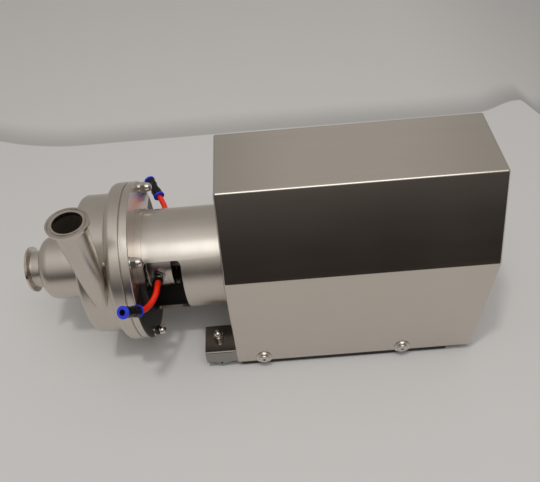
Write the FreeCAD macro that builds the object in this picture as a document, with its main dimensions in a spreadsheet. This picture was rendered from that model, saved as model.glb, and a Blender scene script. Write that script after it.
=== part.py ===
import FreeCAD, Part
import math
import os
import re
import Sketcher

# A close-coupled centrifugal pump in stainless steel with a shrouded motor.
# The pump axis runs along X, with the suction port at the low end and the motor at the high end.
# The document's origin is the middle of the base: ground level, halfway along, under the axis.
# Most bodies are drawn about the pump axis, with x = 0 at the face of the motor.

vector = FreeCAD.Vector
doc = FreeCAD.newDocument("pump")

# Millimetres, and degrees where the name ends in angle.
sizes = {
    # Heights of the axis over the ground and over the motor's feet.
    "axis_height": 126.5,
    "motor_centre_height": 90,
    # Clearances: running, loose and between a tube and its socket.
    "running_fit": 0.05,
    "seat_gap": 0.3,
    "tube_fit": 0.1,
    # Casing.
    "flange_radius": 110,
    "casing_flange_length": 20.5,
    "flange_round": 8,
    "edge_break": 0.8,
    "drum_radius": 96.5,
    "drum_depth": 62,
    "shoulder_radius": 5,
    "casing_wall": 4,
    "lip_radius": 88.5,
    "lip_length": 6,
    "boss_radius": 44.5,
    "boss_length": 70,
    "boss_round": 15.5,
    "weld_fillet": 3,
    "neck_length": 19.7,
    "pipe_wall": 1.5,
    "suction_radius": 25.4,
    "suction_ferrule": 32,
    "discharge_radius": 19.05,
    "discharge_ferrule": 25.25,
    "discharge_height": 157.8,
    "discharge_offset": 84.5,
    "discharge_setback": 37,
    "discharge_straight": 20,
    "throat_radius": 12,
    "sweep_radius": 60,
    "sweep_angle": 60,
    "ferrule_rim": 2.85,
    "ferrule_slope_angle": 20,
    "groove_inset": 3.7,
    "groove_width": 3.2,
    "groove_depth": 1.4,
    # Back plate and its gasket.
    "back_plate_radius": 93.5,
    "back_plate_length": 8,
    "spigot_length": 4,
    "gasket_radius": 89.3,
    "gasket_width": 2.8,
    "gasket_depth": 2.2,
    # Flange bolting, four places on the diagonals.
    "bolt_circle": 101.5,
    "bolt_radius": 4,
    "bolt_hole_radius": 4.25,
    "stud_stand": 2,
    "washer_radius": 8,
    "washer_length": 1.6,
    "nut_flats": 13,
    "nut_hex_length": 6.5,
    "nut_length": 15,
    "nut_dome_radius": 6.2,
    "stud_reach": 11,
    # Lantern.
    "lantern_length": 136,
    "lantern_flange_length": 11.5,
    "seam_groove_length": 1.8,
    "seam_groove_depth": 3,
    "collar_length": 7.5,
    "collar_radius": 72,
    "lantern_radius": 70.3,
    "lantern_wall": 4,
    "end_ring_length": 10,
    "window_length": 49.5,
    "window_height": 96,
    "window_corner": 6,
    "screw_circle": 57.5,
    "screw_radius": 4,
    "screw_head_radius": 6.5,
    "screw_grip": 12,
    # Seal housing.
    "seal_flange_rim": 6.5,
    "seal_flange_length": 7,
    "seal_step_radius": 42.5,
    "seal_step_length": 6.4,
    "seal_body_radius": 39.5,
    "seal_body_length": 39.5,
    "seal_bore_radius": 28,
    "seal_cover_length": 8,
    "seal_screw_clearance": 2.1,
    "seal_screw_radius": 3,
    "seal_screw_head": 4.9,
    "cover_screw_circle": 33.5,
    "cover_screw_radius": 2,
    "cover_screw_head": 3.4,
    "port_setback": 29,
    "port_angle": 14.5,
    "port_thread_radius": 5.5,
    # Face seals on the stub shaft.
    "seat_outer_radius": 20.7,
    "seat_inner_radius": 15.2,
    "seat_length": 8,
    "seat_stand": 1.5,
    "seal_ring_radius": 20,
    "seal_ring_length": 9,
    "spring_radius": 17,
    "spring_wire_radius": 1.2,
    # Stub shaft, impeller and keys.
    "sleeve_radius": 20,
    "sleeve_length": 62,
    "seal_shaft_radius": 14,
    "impeller_shaft_radius": 10,
    "thread_radius": 6,
    "clamp_radius": 32,
    "clamp_length": 18,
    "impeller_radius": 81,
    "impeller_disc_length": 4.5,
    "impeller_gap": 2,
    "impeller_hub_radius": 17,
    "impeller_length": 44,
    "vane_count": 6,
    "vane_thickness": 3.5,
    "vane_arc": 48,
    "vane_arc_offset": 46,
    "vane_eye_height": 34,
    "vane_rim_height": 24,
    "eye_radius": 34,
    "impeller_nut_flats": 27,
    "impeller_nut_length": 18,
    "key_width": 6,
    "key_height": 6,
    "key_length": 26,
    "motor_key_width": 8,
    "motor_key_height": 7,
    "motor_key_length": 40,
    # Flush fittings, tubes and push-in unions.
    "tube_radius": 4,
    "fitting_flats": 15,
    "fitting_hex_length": 7.3,
    "fitting_barrel_radius": 6.6,
    "fitting_barrel_length": 10,
    "fitting_rim_radius": 7,
    "fitting_rim_length": 2,
    "tube_seat": 9,
    "union_length": 36.4,
    "union_end_radius": 7.4,
    "union_end_length": 8,
    "union_waist_radius": 6.5,
    "release_radius": 8.2,
    "release_length": 3,
    "release_travel": 1.5,
    "release_sleeve_radius": 5.6,
    "release_sleeve_length": 9,
    # Motor.
    "motor_shaft_radius": 12,
    "motor_shaft_reach": 50,
    "shield_radius": 70,
    "shield_rim_length": 12,
    "pilot_radius": 47.5,
    "pilot_length": 3,
    "housing_start": 34,
    "housing_length": 180,
    "housing_radius": 80,
    "housing_wall": 5,
    "fin_count": 28,
    "fin_height": 8,
    "fin_thickness": 3,
    "bearing_radius": 26,
    "bearing_bore": 12.5,
    "bearing_length": 15,
    "bearing_inset": 7,
    "ball_radius": 3.9,
    "ball_circle": 19.25,
    "ball_count": 9,
    "core_start": 64,
    "core_length": 120,
    "core_radius": 40.5,
    "air_gap": 0.5,
    "winding_reach": 20,
    "rotor_ring_length": 8,
    "rear_shield_length": 28,
    "fan_radius": 72,
    "fan_length": 24,
    "fan_blades": 7,
    "fan_cover_length": 66,
    "fan_cover_wall": 1.5,
    "fan_slots": 12,
    "foot_first": 56,
    "foot_spacing": 125,
    "foot_half_gauge": 70,
    "foot_thickness": 12,
    "foot_bolt_radius": 4,
    "foot_bolt_flats": 13,
    "foot_bolt_head": 5.3,
    "foot_bolt_reach": 12,
    "foot_nut_length": 6.8,
    "box_length": 96,
    "box_width": 92,
    "box_height": 46,
    "box_wall": 3,
    "lid_height": 7,
    "gland_radius": 11,
    "block_half_width": 15,
    "block_height": 12,
    "block_inset": 20,
    "post_radius": 2.5,
    "post_length": 10,
    "post_pitch": 18,
    "post_half_gauge": 8,
    # Foot rails and rubber feet.
    "sheet_thickness": 2,
    "rail_inner": 57,
    "rail_outer": 107,
    "rail_lower_edge": 13,
    "rail_start": -54,
    "rail_length": 376,
    "lug_start": -41,
    "lug_length": 24,
    "lug_depth": 7.5,
    "lug_hole_radius": 1.8,
    "foot_stud_line": 80,
    "front_foot": -34.6,
    "rear_foot": 297,
    "rubber_radius": 15,
    # Shroud.
    "shroud_start": -10,
    "shroud_length": 341.1,
    "shroud_sheet": 1.5,
    "shroud_bend": 3,
    "shroud_half_width": 108.8,
    "shroud_top_half_width": 56.8,
    "shroud_lower_edge": 12,
    "shroud_knee": 183.5,
    "shroud_top": 284.7,
    "shroud_gap": 2.2,
    "shroud_screw_first": 29.4,
    "shroud_screw_spacing": 199.7,
    "shroud_screw_height": 19.5,
    "cup_radius": 11.7,
    "cup_length": 2.2,
    "dome_radius": 7.5,
    "dome_length": 4.5,
    "slot_length": 60,
    "slot_height": 6,
    "slot_pitch": 14,
    "slot_rows": 8,
    "grommet_radius": 10,
    "grommet_lip": 3,
}

# Places and sizes that follow from the values above.
places = {
    "seam": "-lantern_length",
    "flange_front": "seam - casing_flange_length",
    "drum_front": "seam - drum_depth",
    "boss_front": "drum_front - boss_length",
    "suction_face": "boss_front - neck_length",
    "drum_inside": "drum_radius - casing_wall",
    "plate_front": "seam - back_plate_length",
    "plate_rear": "seam + spigot_length",
    "suction_bore": "suction_radius - pipe_wall",
    "discharge_bore": "discharge_radius - pipe_wall",
    "discharge_x": "seam - discharge_setback",
    "flange_rear": "seam + lantern_flange_length",
    "collar_end": "flange_rear + collar_length",
    "lantern_bore": "lantern_radius - lantern_wall",
    "nut_seat": "flange_rear + washer_length",
    "seal_step_end": "plate_rear + seal_flange_length + seal_step_length",
    "seal_screw_circle": "seal_step_radius + seal_screw_head + seal_screw_clearance",
    "seal_flange_radius": "seal_screw_circle + seal_flange_rim",
    "seal_end": "plate_rear + seal_body_length",
    "cover_end": "seal_end + seal_cover_length",
    "port_x": "plate_rear + port_setback",
    "port_floor": "seal_body_radius - 6",
    "hex_start": "seal_body_radius + 0.2",
    "barrel_start": "hex_start + fitting_hex_length",
    "rim_start": "barrel_start + fitting_barrel_length",
    "fitting_end": "rim_start + fitting_rim_length",
    "inner_seat_start": "plate_rear + seat_stand - seat_length",
    "inner_seat_end": "plate_rear + seat_stand",
    "outer_seat_start": "seal_end - seat_stand",
    "outer_seat_end": "outer_seat_start + seat_length",
    "spring_start": "inner_seat_end + seal_ring_length",
    "spring_end": "outer_seat_start - seal_ring_length",
    "sleeve_start": "-4 - sleeve_length",
    "hub_rear": "plate_front - impeller_gap",
    "disc_front": "hub_rear - impeller_disc_length",
    "hub_front": "hub_rear - impeller_length",
    "housing_end": "housing_start + housing_length",
    "housing_inside": "housing_radius - housing_wall",
    "rear_shield_end": "housing_end + rear_shield_length - 4",
    "rear_bearing": "rear_shield_end - bearing_inset - bearing_length",
    "core_end": "core_start + core_length",
    "rotor_radius": "core_radius - air_gap",
    "fan_start": "rear_shield_end + 7",
    "fan_cover_radius": "housing_radius + fin_height + 1",
    "foot_edge": "housing_radius + fin_height - 1",
    "fan_cover_start": "rear_shield_end - 12",
    "fan_cover_end": "fan_cover_start + fan_cover_length",
    "rail_top": "axis_height - motor_centre_height",
    "rail_middle": "(rail_inner + rail_outer) / 2",
    "shroud_end": "shroud_start + shroud_length",
    "grommet_end": "shroud_end + grommet_lip",
    "motor_face": "-(suction_face + grommet_end) / 2",
    "box_start": "(housing_start + housing_end) / 2 - box_length / 2 - 10",
    "box_seat": "housing_radius + fin_height",
    "box_top": "box_seat + box_height",
}

sheet = doc.addObject("Spreadsheet::Sheet", "sizes")
for row, (name, value) in enumerate(sizes.items(), 1):
    sheet.set("A%d" % row, name)
    sheet.set("B%d" % row, str(value))
    sheet.setAlias("B%d" % row, name)
doc.recompute()


def tied(formula):
    """The formula with each name written as its cell, or as the formula it stands for."""
    def spelled(match):
        word = match.group(0)
        if word in places:
            return "(" + tied(places[word]) + ")"
        return "sizes." + word if word in sizes else word
    return re.sub(r"[a-z][a-z_0-9]*", spelled, str(formula))


def number(formula):
    return float(sheet.evalExpression(tied(formula)))


def bind(thing, path, formula):
    thing.setExpression(path, tied(formula))


def new_body(name, x="motor_face", y="0", z="axis_height"):
    body = doc.addObject("PartDesign::Body", name)
    body.Label = name
    for axis, formula in zip("xyz", (x, y, z)):
        bind(body, "Placement.Base." + axis, formula)
    return body


def origin_part(body, role):
    return [part for part in body.Origin.OriginFeatures if part.Role == role][0]


def new_sketch(body, plane, offset="0", across="0", up="0"):
    sketch = body.newObject("Sketcher::SketchObject", body.Label + "_sketch")
    sketch.AttachmentSupport = [(origin_part(body, plane), "")]
    sketch.MapMode = "FlatFace"
    for axis, formula in zip("xyz", (across, up, offset)):
        bind(sketch, "AttachmentOffset.Base." + axis, formula)
    return sketch


def arc_between(start, end, radius, side):
    """An arc, drawn anticlockwise; side is 1 where its centre lies to the left of the way from start to end."""
    chord = end.sub(start)
    half = chord.Length / 2
    depth = math.sqrt(max(radius * radius - half * half, 0))
    left = vector(-chord.y, chord.x, 0).normalize()
    middle = (start + end) * 0.5 + left * ((depth - radius) * side)
    return Part.Arc(start, middle, end) if side > 0 else Part.Arc(end, middle, start)


def draw(sketch, steps):
    """A closed outline. A step is (x, y) for a line, or (x, y, radius, side) for an arc, to that point."""
    spots = [vector(number(step[0]), number(step[1]), 0) for step in steps]
    rules = []
    formulas = []
    ends = []
    for i, step in enumerate(steps):
        start, end = spots[i - 1], spots[i]
        if len(step) == 2:
            geometry = sketch.addGeometry(Part.LineSegment(start, end), False)
            ends.append((geometry, 1, 2))
        else:
            radius, side = number(step[2]), step[3]
            geometry = sketch.addGeometry(arc_between(start, end, radius, side), False)
            ends.append((geometry, 1, 2) if side > 0 else (geometry, 2, 1))
            rules.append(Sketcher.Constraint("Radius", geometry, radius))
            formulas.append(step[2])
    for i, step in enumerate(steps):
        geometry, begin, end = ends[i]
        following, its_begin, _ = ends[(i + 1) % len(ends)]
        rules.append(Sketcher.Constraint("Coincident", geometry, end, following, its_begin))
        formulas.append(None)
        for kind, formula, value in (("DistanceX", step[0], spots[i].x), ("DistanceY", step[1], spots[i].y)):
            rules.append(Sketcher.Constraint(kind, -1, 1, geometry, end, value))
            formulas.append(formula)
    start = sketch.ConstraintCount
    sketch.addConstraint(rules)
    for i, formula in enumerate(formulas):
        if formula is not None:
            bind(sketch, "Constraints[%d]" % (start + i), formula)


def circle(sketch, x, y, radius):
    spot = vector(number(x), number(y), 0)
    geometry = sketch.addGeometry(Part.Circle(spot, vector(0, 0, 1), number(radius)), False)
    start = sketch.ConstraintCount
    sketch.addConstraint([
        Sketcher.Constraint("DistanceX", -1, 1, geometry, 3, spot.x),
        Sketcher.Constraint("DistanceY", -1, 1, geometry, 3, spot.y),
        Sketcher.Constraint("Radius", geometry, number(radius)),
    ])
    for i, formula in enumerate((x, y, radius)):
        bind(sketch, "Constraints[%d]" % (start + i), formula)


def box_steps(low_x, low_y, high_x, high_y):
    return [(low_x, low_y), (high_x, low_y), (high_x, high_y), (low_x, high_y)]


def round_box_steps(low_x, low_y, high_x, high_y, radius):
    def near(formula, sign):
        return "%s %s %s" % (formula, sign, radius)
    return [
        (near(high_x, "-"), low_y), (high_x, near(low_y, "+"), radius, 1),
        (high_x, near(high_y, "-")), (near(high_x, "-"), high_y, radius, 1),
        (near(low_x, "+"), high_y), (low_x, near(high_y, "-"), radius, 1),
        (low_x, near(low_y, "+")), (near(low_x, "+"), low_y, radius, 1),
    ]


def hexagon_steps(flats):
    corners = []
    for corner in range(6):
        angle = 60 * corner + 30
        corners.append(("%s / sqrt(3) * cos(%d)" % (flats, angle), "%s / sqrt(3) * sin(%d)" % (flats, angle)))
    return corners


def spin(body, sketch, cut=False, axis="H_Axis", angle="360", backwards=False):
    kind = "PartDesign::Groove" if cut else "PartDesign::Revolution"
    feature = body.newObject(kind, body.Label + ("_groove" if cut else "_turned"))
    feature.Profile = sketch
    feature.ReferenceAxis = (sketch, [axis])
    feature.Reversed = backwards
    bind(feature, "Angle", angle)
    return feature


def turned(body, steps, cut=False, axis="H_Axis"):
    """A revolved profile: x along the body's axis and y the radius, or the two swapped about V_Axis."""
    sketch = new_sketch(body, "XZ_Plane")
    draw(sketch, steps)
    return spin(body, sketch, cut, axis)


def push(body, sketch, length, cut=False, backwards=False, both_ways=False):
    kind = "PartDesign::Pocket" if cut else "PartDesign::Pad"
    feature = body.newObject(kind, body.Label + ("_pocket" if cut else "_pad"))
    feature.Profile = sketch
    bind(feature, "Length", length)
    feature.Reversed = backwards
    feature.Midplane = both_ways
    return feature


def ring_steps(low_x, high_x, inner, outer):
    return [(low_x, inner), (low_x, outer), (high_x, outer), (high_x, inner)]


def around(body, features, count):
    """Features repeated about the body's X axis."""
    doc.recompute()
    pattern = body.newObject("PartDesign::PolarPattern", body.Label + "_around")
    pattern.Originals = features if isinstance(features, list) else [features]
    pattern.Axis = (origin_part(body, "X_Axis"), [""])
    pattern.Angle = 360
    bind(pattern, "Occurrences", count)
    body.Tip = pattern
    return pattern


def group(name, members):
    """One sub-part made of several like solids."""
    for member in members:
        member.Label = name + "_" + member.Name
    together = doc.addObject("Part::Compound", name)
    together.Links = members
    together.Label = name
    return together


parts = []

# Volute casing: a drum on a thick flange, a round-nosed inlet boss, and a discharge cone
# that widens from a throat at a tangent to the drum and sweeps round into it.
casing = new_body("volute_casing")
parts.append(casing)
groove_radius = "suction_ferrule - groove_inset"
turned(casing, [
    ("seam", "0"),
    ("seam", "flange_radius - edge_break"),
    ("seam - edge_break", "flange_radius"),
    ("flange_front + flange_round", "flange_radius"),
    ("flange_front", "flange_radius - flange_round", "flange_round", 1),
    ("flange_front", "drum_radius + weld_fillet"),
    ("flange_front - weld_fillet", "drum_radius", "weld_fillet", -1),
    ("drum_front + shoulder_radius", "drum_radius"),
    ("drum_front", "drum_radius - shoulder_radius", "shoulder_radius", 1),
    ("drum_front", "boss_radius + weld_fillet"),
    ("drum_front - weld_fillet", "boss_radius", "weld_fillet", -1),
    ("boss_front + boss_round", "boss_radius"),
    ("boss_front", "boss_radius - boss_round", "boss_round", 1),
    ("boss_front", "suction_radius + weld_fillet"),
    ("boss_front - weld_fillet", "suction_radius", "weld_fillet", -1),
    ("suction_face + ferrule_rim + (suction_ferrule - suction_radius) * tan(ferrule_slope_angle)",
     "suction_radius"),
    ("suction_face + ferrule_rim", "suction_ferrule"),
    ("suction_face", "suction_ferrule"),
    ("suction_face", groove_radius + " + groove_width / 2"),
    ("suction_face + groove_depth", groove_radius + " + groove_width / 4"),
    ("suction_face + groove_depth", groove_radius + " - groove_width / 4"),
    ("suction_face", groove_radius + " - groove_width / 2"),
    ("suction_face", "0"),
])
groove_radius = "discharge_ferrule - groove_inset"
pipe = new_sketch(casing, "YZ_Plane", "discharge_x", "-discharge_offset")
draw(pipe, [
    ("0", "0"),
    ("throat_radius", "0"),
    ("discharge_radius", "discharge_height - discharge_straight"),
    ("discharge_radius",
     "discharge_height - ferrule_rim - (discharge_ferrule - discharge_radius) * tan(ferrule_slope_angle)"),
    ("discharge_ferrule", "discharge_height - ferrule_rim"),
    ("discharge_ferrule", "discharge_height"),
    (groove_radius + " + groove_width / 2", "discharge_height"),
    (groove_radius + " + groove_width / 4", "discharge_height - groove_depth"),
    (groove_radius + " - groove_width / 4", "discharge_height - groove_depth"),
    (groove_radius + " - groove_width / 2", "discharge_height"),
    ("0", "discharge_height"),
])
spin(casing, pipe, axis="V_Axis")
sweep = new_sketch(casing, "XY_Plane", up="sweep_radius - discharge_offset")
circle(sweep, "discharge_x", "-sweep_radius", "throat_radius")
spin(casing, sweep, angle="sweep_angle")
turned(casing, [
    ("seam + 1", "0"),
    ("seam + 1", "back_plate_radius + seat_gap"),
    ("plate_front", "back_plate_radius + seat_gap"),
    ("plate_front", "lip_radius"),
    ("plate_front - lip_length", "lip_radius"),
    ("plate_front - lip_length", "drum_inside"),
    ("drum_front + shoulder_radius", "drum_inside"),
    ("drum_front + casing_wall", "drum_radius - shoulder_radius", "shoulder_radius - casing_wall", 1),
    ("drum_front + casing_wall", "boss_radius - casing_wall"),
    ("boss_front + boss_round", "boss_radius - casing_wall"),
    ("boss_front + casing_wall", "boss_radius - boss_round", "boss_round - casing_wall", 1),
    ("boss_front + casing_wall", "suction_bore"),
    ("suction_face - 1", "suction_bore"),
    ("suction_face - 1", "0"),
], cut=True)
pipe_bore = new_sketch(casing, "YZ_Plane", "discharge_x", "-discharge_offset")
draw(pipe_bore, [
    ("0", "0"),
    ("throat_radius - pipe_wall", "0"),
    ("discharge_bore", "discharge_height - discharge_straight"),
    ("discharge_bore", "discharge_height + 1"),
    ("0", "discharge_height + 1"),
])
spin(casing, pipe_bore, cut=True, axis="V_Axis")
sweep_bore = new_sketch(casing, "XY_Plane", up="sweep_radius - discharge_offset")
circle(sweep_bore, "discharge_x", "-sweep_radius", "throat_radius - pipe_wall")
spin(casing, sweep_bore, cut=True, angle="sweep_angle")
stud_seat = new_sketch(casing, "YZ_Plane", "seam")
circle(stud_seat, "bolt_circle * cos(45)", "bolt_circle * sin(45)", "bolt_radius + running_fit")
around(casing, push(casing, stud_seat, "casing_flange_length + stud_stand + 1", cut=True), "4")

# Back plate: closes the casing, pilots the lantern and carries the product-side seal seat.
back_plate = new_body("back_plate")
parts.append(back_plate)
turned(back_plate, [
    ("plate_front", "seal_shaft_radius + 2"),
    ("plate_front", "gasket_radius - 0.1"),
    ("plate_front + gasket_depth", "gasket_radius - 0.1"),
    ("plate_front + gasket_depth", "gasket_radius + gasket_width + 0.1"),
    ("plate_front", "gasket_radius + gasket_width + 0.1"),
    ("plate_front", "back_plate_radius"),
    ("seam", "back_plate_radius"),
    ("seam", "lantern_bore - 0.1"),
    ("plate_rear", "lantern_bore - 0.1"),
    ("plate_rear", "seat_outer_radius + 0.1"),
    ("inner_seat_start", "seat_outer_radius + 0.1"),
    ("inner_seat_start", "seal_shaft_radius + 2"),
])
seal_tapping = new_sketch(back_plate, "YZ_Plane", "plate_rear")
circle(seal_tapping, "seal_screw_circle", "0", "seal_screw_radius")
around(back_plate, push(back_plate, seal_tapping, "8", cut=True), "4")

gasket = new_body("casing_gasket")
parts.append(gasket)
turned(gasket, ring_steps("plate_front", "plate_front + gasket_depth", "gasket_radius",
                          "gasket_radius + gasket_width"))

# Lantern: flange, windowed tube and the ring that bolts to the motor's face.
lantern = new_body("lantern")
parts.append(lantern)
turned(lantern, [
    ("seam", "lantern_bore"),
    ("seam", "flange_radius - seam_groove_depth"),
    ("seam + seam_groove_length", "flange_radius - seam_groove_depth"),
    ("seam + seam_groove_length", "flange_radius"),
    ("flange_rear - edge_break", "flange_radius"),
    ("flange_rear", "flange_radius - edge_break"),
    ("flange_rear", "collar_radius"),
    ("collar_end", "collar_radius"),
    ("collar_end", "lantern_radius"),
    ("0", "lantern_radius"),
    ("0", "pilot_radius + running_fit"),
    ("-end_ring_length", "pilot_radius + running_fit"),
    ("-end_ring_length", "lantern_bore"),
])
window = new_sketch(lantern, "XZ_Plane")
draw(window, round_box_steps("collar_end", "-window_height / 2", "collar_end + window_length",
                             "window_height / 2", "window_corner"))
push(lantern, window, "2 * collar_radius + 10", cut=True, both_ways=True)
stud_hole = new_sketch(lantern, "YZ_Plane", "flange_rear")
circle(stud_hole, "bolt_circle * cos(45)", "bolt_circle * sin(45)", "bolt_hole_radius")
around(lantern, push(lantern, stud_hole, "lantern_flange_length + 1", cut=True), "4")
screw_hole = new_sketch(lantern, "YZ_Plane")
circle(screw_hole, "screw_circle * cos(45)", "screw_circle * sin(45)", "screw_radius + 0.5")
around(lantern, push(lantern, screw_hole, "end_ring_length + 1", cut=True), "4")

# Studs, washers and acorn nuts of the flange joint.
studs = new_body("flange_studs")
parts.append(studs)
stud = new_sketch(studs, "YZ_Plane", "flange_front - stud_stand")
circle(stud, "bolt_circle * cos(45)", "bolt_circle * sin(45)", "bolt_radius")
around(studs, push(studs, stud, "nut_seat + stud_reach - flange_front + stud_stand"), "4")

washers = new_body("flange_washers")
parts.append(washers)
washer = new_sketch(washers, "YZ_Plane", "flange_rear")
circle(washer, "bolt_circle * cos(45)", "bolt_circle * sin(45)", "washer_radius")
circle(washer, "bolt_circle * cos(45)", "bolt_circle * sin(45)", "bolt_hole_radius")
around(washers, push(washers, washer, "washer_length"), "4")


def domed_nut(name, x, y, z, flats, hex_length, length, dome, bore, depth):
    """A hexagon nut with a domed end, along its own Z axis."""
    nut = new_body(name, x, y, z)
    hexagon = new_sketch(nut, "XY_Plane")
    draw(hexagon, hexagon_steps(flats))
    push(nut, hexagon, hex_length)
    turned(nut, [
        ("0", hex_length + " - 1"),
        (dome, hex_length + " - 1"),
        (dome, "%s - %s" % (length, dome)),
        ("0", length, dome, 1),
    ], axis="V_Axis")
    turned(nut, box_steps("0", "-1", bore + " + running_fit", depth + " + 0.2"), cut=True, axis="V_Axis")
    return nut


def acorn_nut(name, x, y, z):
    return domed_nut(name, x, y, z, "nut_flats", "nut_hex_length", "nut_length", "nut_dome_radius",
                     "bolt_radius", "stud_reach")


def bind_turn(thing, axis, angle):
    thing.Placement = FreeCAD.Placement(thing.Placement.Base, FreeCAD.Rotation(axis, number(angle)))
    bind(thing, "Placement.Rotation.Angle", angle)


acorn_nuts = []
for corner in range(4):
    angle = 45 + 90 * corner
    nut = acorn_nut("flange_nut_%d" % corner, "motor_face + nut_seat", "bolt_circle * cos(%d)" % angle,
                    "axis_height + bolt_circle * sin(%d)" % angle)
    bind_turn(nut, vector(0, 1, 0), "90")
    acorn_nuts.append(nut)

# Seal housing: the flush chamber behind the window, with a port on each side.
seal_housing = new_body("seal_housing")
parts.append(seal_housing)
turned(seal_housing, [
    ("plate_rear", "seal_bore_radius"),
    ("plate_rear", "seal_flange_radius"),
    ("plate_rear + seal_flange_length", "seal_flange_radius"),
    ("plate_rear + seal_flange_length", "seal_step_radius"),
    ("seal_step_end - edge_break", "seal_step_radius"),
    ("seal_step_end", "seal_step_radius - edge_break"),
    ("seal_step_end", "seal_body_radius"),
    ("seal_end", "seal_body_radius"),
    ("seal_end", "seal_bore_radius"),
])
for tilt in ("-port_angle", "180 + port_angle"):
    port = new_sketch(seal_housing, "XZ_Plane")
    port.AttachmentOffset = FreeCAD.Placement(vector(0, 0, 0), FreeCAD.Rotation(vector(1, 0, 0), number(tilt)))
    bind(port, "AttachmentOffset.Rotation.Angle", tilt)
    circle(port, "port_x", "0", "port_thread_radius + running_fit")
    push(seal_housing, port, "seal_step_radius + 10", cut=True, backwards=True)
seal_hole = new_sketch(seal_housing, "YZ_Plane", "plate_rear + seal_flange_length")
circle(seal_hole, "seal_screw_circle", "0", "seal_screw_radius + 0.3")
seal_hole = push(seal_housing, seal_hole, "seal_flange_length + 1", cut=True)
cover_hole = new_sketch(seal_housing, "YZ_Plane", "seal_end")
circle(cover_hole, "cover_screw_circle * cos(45)", "cover_screw_circle * sin(45)", "cover_screw_radius")
cover_hole = push(seal_housing, cover_hole, "10", cut=True)
around(seal_housing, [seal_hole, cover_hole], "4")

seal_cover = new_body("seal_cover")
parts.append(seal_cover)
turned(seal_cover, [
    ("seal_end", "seat_outer_radius + 0.1"),
    ("seal_end", "seal_body_radius - 0.5"),
    ("cover_end - 1.5", "seal_body_radius - 0.5"),
    ("cover_end", "seal_body_radius - 2"),
    ("cover_end", "seal_shaft_radius + 2"),
    ("outer_seat_end", "seal_shaft_radius + 2"),
    ("outer_seat_end", "seat_outer_radius + 0.1"),
])
cover_hole = new_sketch(seal_cover, "YZ_Plane", "cover_end")
circle(cover_hole, "cover_screw_circle * cos(45)", "cover_screw_circle * sin(45)", "cover_screw_radius + 0.2")
around(seal_cover, push(seal_cover, cover_hole, "seal_cover_length + 1", cut=True), "4")

# Cap screws: a shank that ends at one x and a head that starts at another, four on a circle.
def screw_ring(body, y, z, shank, shank_start, seat, head, head_end):
    shaft = new_sketch(body, "YZ_Plane", shank_start)
    circle(shaft, y, z, shank)
    shaft = push(body, shaft, "(%s) - (%s)" % (seat, shank_start))
    cap = new_sketch(body, "YZ_Plane", seat)
    circle(cap, y, z, head)
    cap = push(body, cap, "(%s) - (%s)" % (head_end, seat))
    return [shaft, cap]


seal_screws = new_body("seal_screws")
parts.append(seal_screws)
around(seal_screws, screw_ring(
    seal_screws, "seal_screw_circle", "0", "seal_screw_radius", "plate_rear - 7",
    "plate_rear + seal_flange_length", "seal_screw_head", "plate_rear + seal_flange_length + 5",
) + screw_ring(
    seal_screws, "cover_screw_circle * cos(45)", "cover_screw_circle * sin(45)", "cover_screw_radius",
    "seal_end - 9", "cover_end", "cover_screw_head", "cover_end + 3.5",
), "4")

# The four screws that hold the lantern to the motor go in from inside the lantern.
lantern_screws = new_body("lantern_screws")
parts.append(lantern_screws)
around(lantern_screws, screw_ring(
    lantern_screws, "screw_circle * cos(45)", "screw_circle * sin(45)", "screw_head_radius",
    "-end_ring_length - 2 * screw_radius", "-end_ring_length", "screw_radius", "screw_grip"), "4")

# Two face seals, back to back, with one spring between the rotating rings.
for name, start, end in (
    ("inner_seal_seat", "inner_seat_start", "inner_seat_end"),
    ("outer_seal_seat", "outer_seat_start", "outer_seat_end"),
):
    seat = new_body(name)
    parts.append(seat)
    turned(seat, ring_steps(start, end, "seat_inner_radius", "seat_outer_radius"))
for name, start, end, thin in (
    ("inner_seal_ring", "inner_seat_end", "spring_start", "inner_seat_end"),
    ("outer_seal_ring", "spring_end", "outer_seat_start", "outer_seat_start - 2"),
):
    ring = new_body(name)
    parts.append(ring)
    nose = "seat_inner_radius + 3.8"
    turned(ring, ring_steps(start, end, "seal_shaft_radius + running_fit", "seal_ring_radius"))
    turned(ring, ring_steps(thin, thin + " + 2", nose, "seal_ring_radius + 1"), cut=True)

spring = new_body("seal_spring")
parts.append(spring)
wire = new_sketch(spring, "XZ_Plane")
circle(wire, "spring_start + spring_wire_radius", "spring_radius", "spring_wire_radius")
coil = spring.newObject("PartDesign::AdditiveHelix", "seal_spring_coil")
coil.Profile = wire
coil.ReferenceAxis = (wire, ["H_Axis"])
coil.Mode = "height-turns-angle"
bind(coil, "Height", "spring_end - spring_start - 2 * spring_wire_radius")
coil.Turns = 4

# Stub shaft: a sleeve on the motor's shaft, the seal length, the impeller seat and its thread.
pump_shaft = new_body("pump_shaft")
parts.append(pump_shaft)
turned(pump_shaft, [
    ("hub_front - impeller_nut_length + 5", "0"),
    ("hub_front - impeller_nut_length + 5", "thread_radius"),
    ("hub_front", "thread_radius"),
    ("hub_front", "impeller_shaft_radius"),
    ("hub_rear", "impeller_shaft_radius"),
    ("hub_rear", "seal_shaft_radius"),
    ("sleeve_start", "seal_shaft_radius"),
    ("sleeve_start", "sleeve_radius - edge_break"),
    ("sleeve_start + edge_break", "sleeve_radius"),
    ("-4", "sleeve_radius"),
    ("-4", "motor_shaft_radius + running_fit"),
    ("-motor_shaft_reach - 2", "motor_shaft_radius + running_fit"),
    ("-motor_shaft_reach - 2", "0"),
])
keyway = new_sketch(pump_shaft, "YZ_Plane", "-3")
draw(keyway, box_steps("-motor_key_width / 2 - running_fit", "motor_shaft_radius - 4",
                       "motor_key_width / 2 + running_fit", "motor_shaft_radius + motor_key_height - 4 + 0.2"))
push(pump_shaft, keyway, "motor_shaft_reach", cut=True)
keyway = new_sketch(pump_shaft, "YZ_Plane", "hub_rear - 6")
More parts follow.
